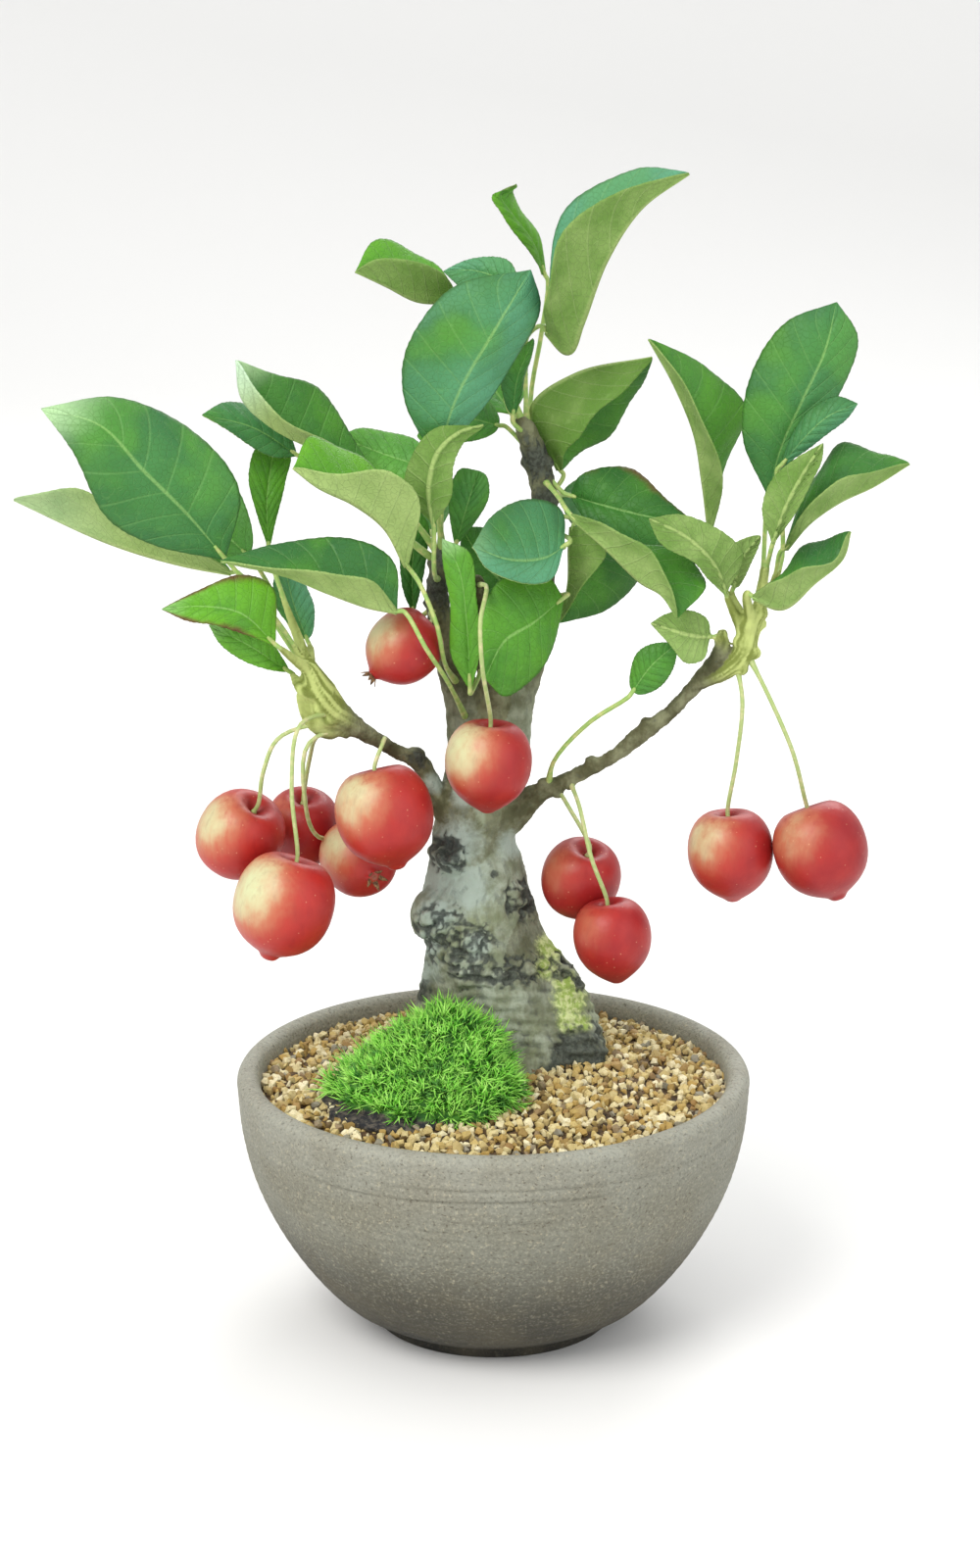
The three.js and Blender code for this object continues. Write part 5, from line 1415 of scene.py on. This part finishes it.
# A tuft of three-sided needles that spread as they rise, with a number from foot to tip
def tuftShape(dice, needles):
    points, faces, tips = [], [], []
    for needle in range(needles):
        angle = 2 * math.pi * (needle + dice.uniform(-0.3, 0.3)) / needles
        out = ringPoint(angle)
        side = Vector((-out.y, out.x, 0))
        reach, tall = dice.uniform(0.2, 0.75), dice.uniform(0.6, 1.15)
        first = len(points)
        for height, away, wide in ((0, 0.03, 0.05), (0.5, 0.3, 0.045)):
            middle = out * away * reach + Vector((0, 0, height * tall))
            points += [middle + side * wide, middle - side * wide, middle + out * wide]
            tips += [height * 0.8] * 3
        points.append(out * reach + Vector((0, 0, tall)))
        tips.append(1.0)
        for a in range(3):
            b = (a + 1) % 3
            faces.append((first + a, first + b, first + 3 + b, first + 3 + a))
            faces.append((first + 3 + a, first + 3 + b, first + 6))
        faces.append((first + 2, first + 1, first))
    return points, faces, {"tip": tips}


def makeMoss(underFinish, overFinish):
    form = mossForm
    outline = Line([(radius, 0, height) for radius, height in form["outline"]])
    points, faces, cover = [], [], []
    sides, rings = form["sides"], form["rings"]
    for ring in range(rings + 1):
        at = outline.at(ring / rings)
        for side in range(sides):
            angle = 2 * math.pi * side / sides
            bump = ringPoint(angle, at.z * 1.5)
            bump = 1 + form["lumps"] * (noise.noise(bump * 2.4) + 0.6 * noise.noise(bump * 6))
            towards = max(math.cos(angle - form["spillAngle"]), 0) ** 2
            # soil spills over the gravel to one side
            if at.z <= form["skirt"]:
                bump += form["spill"] * towards
            x = form["middle"][0] + form["half"][0] * at.x * math.cos(angle) * bump
            y = form["middle"][1] + form["half"][1] * at.x * math.sin(angle) * bump
            x, y = x + form["topShift"][0] * at.z, y + form["topShift"][1] * at.z
            height = gravelForm["edge"] - 1 + form["height"] * at.z
            points.append(potAxis + Vector((x, y, height)) * mm)
            cover.append(float(at.z > form["skirt"] + form["bare"] * towards))
    faces += ringFaces(0, rings, sides)
    faces.append([rings * sides + side for side in range(sides)])
    faces.append(list(reversed(range(sides))))
    mound = meshPiece("moss_cushion", points, faces, [underFinish], pointValues={"cover": cover})
    dice = random.Random(form["seed"])
    shapes = [tuftShape(dice, form["needles"]) for _ in range(form["kinds"])]
    return strew(mound, "tuft", shapes, overFinish, form)


# Finishes
def stonewareFinish():
    shader = Shader("stoneware")
    height = shader.parts(shader.place)[2] / mm
    cloud = shader.noise(14 * mm, 4)
    broad = shader.noise(26 * mm, 3, 0.5, shader.stretched((1, 1, 1), (0.1, 0.3, 0)))
    # Painted shade: the wall's colour darkens towards the foot, with broad noise in where it changes
    level = height + (broad - 0.5) * 14
    shader.paint = shader.blend(level.between(-2, 18), colour(30, 30, 28), colour(70, 68, 58))
    shader.coat(level.between(16, 42), 126, 126, 113)
    shader.coat(level.between(42, 60), 143, 143, 131)
    # Painted highlight: a paler band along the lip
    shader.coat(height.between(58.6, 61.3) * 0.2, 182, 186, 174)
    shader.coat(cloud.between(0.35, 0.7) * 0.3, 112, 104, 82)
    # Dark patches low on the wall, just above the foot
    lowDarkPatch = (broad + cloud * 0.5).between(0.78, 0.95) * height.between(17, 7)
    shader.coat(lowDarkPatch * 0.6, 48, 48, 46)
    speck = shader.noise(0.9 * mm, 2, 0.6)
    # Painted shade: the pale specks and the pale grain fade out towards the foot
    unshaded = height.between(-4, 34) * 0.8 + 0.2
    shader.coat(speck.between(0.58, 0.72) * unshaded * 0.45, 182, 174, 148)
    pit = shader.noise(0.8 * mm, 1, 0.5, shader.stretched((1, 1, 1.3), (0.4, 0.2, 0)))
    shader.coat(pit.between(0.62, 0.74) * 0.6, 72, 62, 48)
    grain = shader.noise(0.7 * mm, 3, 0.65)
    shader.coat(grain.between(0.5, 0.72) * unshaded * 0.4, 176, 174, 156)
    shader.coat(grain.between(0.5, 0.28) * 0.4, 82, 80, 70)
    bump = shader.bump(grain + speck * 0.7, 0.25 * mm)
    return shader.finish(Roughness=0.62 + cloud * 0.2, Normal=bump, Specular_IOR_Level=0.35)


def barkFinish():
    shader = Shader("bark")
    dark, frost, lime, twig, young, fibre = (shader.number(label) for label in barkLabels)
    patch = shader.noise(5 * mm, 4, 0.6)
    fine = shader.noise(1.1 * mm, 4, 0.65)
    streak = shader.noise(1.4 * mm, 3, 0.6, shader.stretched((1, 1, 0.3)))
    wide = shader.noise(11 * mm, 3, 0.5)
    trunk = shader.blend(patch.between(0.35, 0.65), colour(124, 132, 108), colour(162, 172, 154))
    trunk = shader.blend(wide.between(0.45, 0.7) * 0.5, trunk, colour(140, 150, 112))
    trunk = shader.blend(streak.between(0.45, 0.7) * 0.3, trunk, colour(98, 96, 74))
    branch = shader.blend(patch.between(0.35, 0.65), colour(82, 82, 56), colour(128, 130, 100))
    branch = shader.blend(streak.between(0.5, 0.7) * 0.4, branch, colour(78, 70, 46))
    shader.paint = shader.blend(twig, trunk, branch)
    strand = (fibre + (fine - 0.5) * 0.4).between(0.1, 0.75)
    shoot = shader.blend(strand, colour(122, 134, 64), colour(182, 194, 118))
    shader.paint = shader.blend(young, shader.paint, shoot)
    frosty = (frost + (patch - 0.5) * 0.9 + (fine - 0.5) * 0.5).between(0.1, 0.75) * frost.between(0, 0.2)
    shader.coat(frosty * 0.8, 172, 188, 178)
    limy = (lime * 1.3 + (patch - 0.5) * 1.1 + (fine - 0.5) * 1.3).between(0.06, 0.75) * lime.between(0, 0.2)
    spread = (fine + (patch - 0.5) * 0.5).between(0.4, 0.6)
    lichen = shader.blend(spread, colour(150, 176, 82), colour(206, 218, 154))
    shader.paint = shader.blend(limy * 0.88, shader.paint, lichen)
    shade = (dark + (patch - 0.5) * 0.5 + (fine - 0.5) * 0.7).between(0.22, 0.85) * dark.between(0, 0.15)
    gloom = shader.blend(fine.between(0.4, 0.62), colour(38, 42, 43), colour(78, 84, 78))
    shader.paint = shader.blend(shade * 0.85, shader.paint, gloom)
    bump = shader.bump(fine + streak * 0.8, 0.35 * mm)
    return shader.finish(Roughness=0.78 + fine * 0.2, Normal=bump, Specular_IOR_Level=0.25)


# Places across and along a leaf, and masks for its side veins, its midrib and the fine net of veins
def veinPattern(shader):
    across, along = shader.uv()
    across = abs(across * 2 - 1)
    lean = leafForm["veinLean"]
    phase = ((along - across ** 0.9 * lean) * leafForm["veins"]).fraction()
    side = abs(phase - 0.5)
    line = (0.5 - side).between(0.07, 0.0)
    middle = across.between(0.045, 0.012)
    net = shader.cells(1.3 * mm, "DISTANCE_TO_EDGE").between(0.08, 0.0)
    return across, along, line, middle, net


# The scorched rim of a tired leaf, uneven along the edge
def scorchPattern(shader, across, along, cloud):
    return (shader.number("brown") * (across + along * 0.3 + cloud * 0.9)).between(1.25, 1.6)


def leafUpperFinish():
    shader = Shader("leaf_upper")
    across, along, line, middle, net = veinPattern(shader)
    cloud = shader.noise(9 * mm, 3)
    broad = shader.noise(16 * mm, 2, 0.4, shader.stretched((1, 1, 1), (0.3, 0.5, 0.2)))
    tone = shader.number("tone") + (cloud - 0.5) * 0.9
    shader.paint = shader.blend(tone.between(0, 1), colour(38, 92, 34), colour(96, 160, 28))
    shader.coat(broad.between(0.52, 0.36) * 0.4, 94, 158, 42)
    shader.coat(cloud.between(0.54, 0.7) * 0.35, 30, 88, 50)
    shader.coat((across - 0.1).between(0.9, 0.2) * 0.25, 70, 138, 44)
    # Painted sheen: a blue-green reflection laid into the upper side's colour, on one half and in broad
    # patches
    sheen = shader.number("sheen")
    side = (shader.uv()[0] * 2 - 1) * sheen
    gloss = abs(sheen) * (side.between(-0.45, 0.5) * 0.55 + broad.between(0.34, 0.64) * 0.4 + 0.05)
    shader.coat(gloss * 0.85, 100, 168, 134)
    shader.coat(net * 0.1, 120, 172, 84)
    shader.coat(line * 0.17, 132, 184, 104)
    shader.coat(middle * 0.42, 150, 194, 112)
    shader.coat((across + cloud * 0.1).between(0.985, 1.06) * 0.5, 58, 96, 38)
    shader.coat(shader.number("pale") * along.between(0.72, 1.0), 176, 212, 158)
    shader.coat(scorchPattern(shader, across, along, cloud), 96, 74, 40)
    bump = shader.bump(line * -1.0 + net * -0.6, 0.12 * mm)
    return shader.finish(Roughness=0.42 + cloud * 0.16, Normal=bump, Specular_IOR_Level=0.28)


def leafUnderFinish():
    shader = Shader("leaf_under")
    across, along, line, middle, net = veinPattern(shader)
    cloud = shader.noise(8 * mm, 3)
    tone = shader.number("under") + (cloud - 0.5) * 0.9
    shader.paint = shader.blend(tone.between(0, 1), colour(92, 130, 52), colour(160, 184, 112))
    shader.coat(net * 0.14, 164, 190, 122)
    shader.coat(line * 0.25, 168, 192, 124)
    shader.coat(middle * 0.5, 180, 200, 126)
    shader.coat(shader.number("pale") * along.between(0.5, 1.0), 190, 218, 186)
    shader.coat(scorchPattern(shader, across, along, cloud), 118, 92, 56)
    bump = shader.bump(line + net * 0.6, 0.14 * mm)
    return shader.finish(Roughness=0.62 + cloud * 0.15, Normal=bump, Specular_IOR_Level=0.2)


def stalkFinish(name, base, flush):
    shader = Shader(name)
    long = shader.noise(1.6 * mm, 3)
    shader.paint = shader.blend(long.between(0.4, 0.72), base, flush)
    bump = shader.bump(shader.noise(0.5 * mm, 2), 0.08 * mm)
    return shader.finish(Roughness=0.5, Normal=bump)


def fruitFinish():
    shader = Shader("fruit_skin")
    share = shader.uv()[1]
    blush, red, pale = (shader.number(label) for label in ("blush", "red", "pale"))
    cloud = shader.noise(6 * mm, 3)
    streak = shader.noise(1.6 * mm, 4, 0.6, shader.stretched((1, 1, 0.25)))
    deep = (red + (cloud - 0.5) * 0.9).between(0, 1)
    shader.paint = shader.blend(deep, colour(180, 44, 36), colour(142, 22, 28))
    # Painted highlight over the blush: orange, then pale, then cream towards the side that faces the light
    light = blush + (cloud - 0.5) * 0.36 + (streak - 0.5) * 0.22 + pale - 1
    shader.coat(light.between(0.16, 0.78) * 0.65, 180, 82, 58)
    shader.coat(light.between(0.4, 0.95) * 0.8, 192, 140, 102)
    shader.coat(light.between(0.64, 1.06), 200, 204, 158)
    shader.coat(streak.between(0.5, 0.72) * 0.26, 140, 20, 28)
    crown = (share + (streak - 0.5) * 0.3).between(0.3, 0.1)
    shader.coat(crown * 0.6, 120, 24, 26)
    dots = shader.cells(1.9 * mm, "F1").between(0.12, 0.05)
    shader.coat(dots * 0.4, 218, 168, 130)
    shader.coat(share.between(0.07, 0.0) * 0.7, 120, 74, 40)
    shader.coat(share.between(0.86, 0.95) * 0.75, 138, 92, 72)
    bump = shader.bump(shader.noise(1.8 * mm, 2), 0.1 * mm)
    return shader.finish(Roughness=0.38 + cloud * 0.14, Normal=bump, Specular_IOR_Level=0.36,
        Coat_Weight=0.08, Coat_Roughness=0.3)


# The moss cushion is green where needles grow and dark soil below them
def cushionFinish():
    shader = Shader("moss_mound")
    cloud = shader.noise(1.5 * mm, 4, 0.6)
    green = shader.blend(cloud.between(0.35, 0.65), colour(38, 88, 26), colour(74, 132, 40))
    soil = shader.blend(cloud.between(0.4, 0.62), colour(32, 34, 38), colour(92, 86, 76))
    shader.paint = shader.blend(shader.number("cover"), soil, green)
    return shader.finish(Roughness=0.9, Normal=shader.bump(cloud, 0.5 * mm))


def plainFinish(name, first, second, size, rough):
    shader = Shader(name)
    cloud = shader.noise(size, 4, 0.6)
    shader.paint = shader.blend(cloud.between(0.35, 0.65), first, second)
    bump = shader.bump(cloud, size * 0.2)
    return shader.finish(Roughness=rough, Normal=bump)


def grainFinish():
    shader = Shader("gravel_grains")
    tone = shader.number("tone")
    stops = [(0, colour(98, 80, 48)), (0.08, colour(172, 142, 74)), (0.28, colour(194, 172, 108)),
        (0.48, colour(210, 196, 144)), (0.66, colour(232, 224, 188)), (0.8, colour(186, 168, 112)),
        (0.92, colour(148, 114, 62)), (0.97, colour(140, 136, 118))]
    shader.paint = shader.node("ShaderNodeValToRGB", {"stops": stops}, {0: tone})
    spot = shader.noise(0.7 * mm, 3, 0.6)
    shader.coat(spot.between(0.5, 0.72) * 0.45, 128, 98, 54)
    bump = shader.bump(spot, 0.15 * mm)
    return shader.finish(Roughness=0.6 + spot * 0.25, Normal=bump)


def needleFinish():
    shader = Shader("moss_needles")
    tone, tip = shader.number("tone"), shader.number("tip")
    shader.paint = shader.blend(tip.between(0.05, 0.9), colour(72, 168, 36), colour(150, 232, 78))
    shader.coat(tone * tone * 0.75, 182, 236, 112)
    clump = shader.noise(3.6 * mm, 3)
    shader.coat(clump.between(0.5, 0.36) * 0.8, 30, 104, 34)
    shader.coat(clump.between(0.52, 0.64) * 0.7, 182, 242, 118)
    return shader.finish(Roughness=0.6)


# Stage, lights and camera. The floor rises behind the tree as one curved sheet, without a horizon.
stageForm = {
    "half": 2.5,
    "front": -3.0,
    "bend": 1.2,
    "radius": 0.8,
    "steps": 16,
    "top": 2.4,
    "paints": ((236, 236, 235), (240, 240, 239)),
    "world": 0.85,
    "lit": (0, 0, 0.13),
}


def makeStage():
    form = stageForm
    shader = Shader("floor")
    cloud = shader.noise(0.4, 2)
    shader.paint = shader.blend(cloud, *(colour(*shade) for shade in form["paints"]))
    finish = shader.finish(Roughness=0.95, Specular_IOR_Level=0.1)
    outline = [(form["front"], 0.0)]
    for step in range(form["steps"] + 1):
        angle = math.pi / 2 * step / form["steps"]
        out, up = form["radius"] * math.sin(angle), form["radius"] * (1 - math.cos(angle))
        outline.append((form["bend"] + out, up))
    outline.append((form["bend"] + form["radius"], form["top"]))
    points = [(side * form["half"], y, z) for y, z in outline for side in (-1, 1)]
    faces = [(i, i + 1, i + 3, i + 2) for i in range(0, len(points) - 2, 2)]
    floor = meshPiece("floor", points, faces, [finish])
    world = bpy.data.worlds.new("studio")
    scene.world = world
    world.use_nodes = True
    ground = world.node_tree.nodes["Background"]
    ground.inputs["Color"].default_value = (1.0, 1.0, 1.0, 1)
    ground.inputs["Strength"].default_value = form["world"]


def softLight(name, at, size, watts, warmth):
    lamp = bpy.data.lights.new(name, "AREA")
    lamp.shape = "DISK"
    lamp.size = size
    lamp.energy = watts
    lamp.color = warmth
    held = bpy.data.objects.new(name, lamp)
    scene.collection.objects.link(held)
    held.location = potAxis + Vector(at)
    aim = potAxis + Vector(stageForm["lit"]) - held.location
    held.rotation_euler = aim.to_track_quat("-Z", "Y").to_euler()


def makeCamera():
    lens = bpy.data.cameras.new("camera")
    lens.lens = eye["lens"]
    lens.sensor_width = eye["sensor"]
    camera = bpy.data.objects.new("camera", lens)
    scene.collection.objects.link(camera)
    back = Vector((0, -math.cos(eye["tilt"]), math.sin(eye["tilt"])))
    aim = potAxis + Vector(eye["lookedAt"]) * mm
    camera.location = aim + back * eye["distance"] * mm
    camera.rotation_euler = (-back).to_track_quat("-Z", "Y").to_euler()
    scene.camera = camera


# A piece rides on the one body and stands for its CAD nodes; the slot it is given is not used
def finished(piece, slot, *nodes):
    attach(piece, "root")
    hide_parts(*nodes)


# A CAD node that is kept as it is, with a finish of its own
def keepNode(node, finish):
    for slot in frame["nodes"][node].material_slots:
        slot.material = finish


makeCamera()
makeStage()
softLight("key", (-0.65, -0.86, 1.1), 0.9, 14.4, (1, 0.98, 0.95))
softLight("fill", (0.9, -0.9, 0.6), 1.2, 3.8, (0.96, 0.98, 1))
softLight("rim", (0.3, 0.9, 0.9), 0.8, 6, (1, 1, 1))
print("stage, lights and camera made")

finished(makeBowl(stonewareFinish()), "stoneware", "pot")
keepNode("drain_mesh", plainFinish("net_plastic", colour(30, 30, 30), colour(48, 47, 45), 0.8 * mm, 0.55))
keepNode("soil", plainFinish("soil_mix", colour(50, 36, 24), colour(96, 74, 50), 2.2 * mm, 0.9))
print("bowl made")

# The bed between the grains is painted dark, as the shade in the gaps between them
bed = plainFinish("gravel_bed", colour(48, 36, 24), colour(100, 78, 50), 1.6 * mm, 0.9)
finished(makeGravel(bed, grainFinish()), "gravel", "gravel")
finished(makeMoss(cushionFinish(), needleFinish()), "moss", "moss")
print("gravel and moss made")

finished(makeWood(barkFinish()), "bark", "trunk")
print("wood carved")

leafFinishes = [leafUpperFinish(), leafUnderFinish(),
    stalkFinish("leaf_stalk", colour(146, 180, 94), colour(192, 194, 124))]
for index, (name, row) in enumerate(leaves.items()):
    look = dict(zip(leafLabels, row["look"]))
    look.update(seed=index * 0.37 % 1, waves=1.5 + index * 0.61 % 1)
    finished(leafMesh(name.replace("leaf", "blade"), row, leafFinishes, look), "leaf", name)
print("leaves made")

fruitFinishes = [fruitFinish(), stalkFinish("fruit_stalk", colour(162, 182, 112), colour(200, 196, 146)),
    plainFinish("dry_sepals", colour(84, 56, 36), colour(146, 112, 74), 0.6 * mm, 0.8)]
for index, (name, row) in enumerate(apples.items()):
    look = dict(zip(appleLabels, row["look"]), seed=index * 1.7)
    finished(fruitMesh(name.replace("apple", "fruit"), row, fruitFinishes, look), "fruit", name)
print("fruit made")
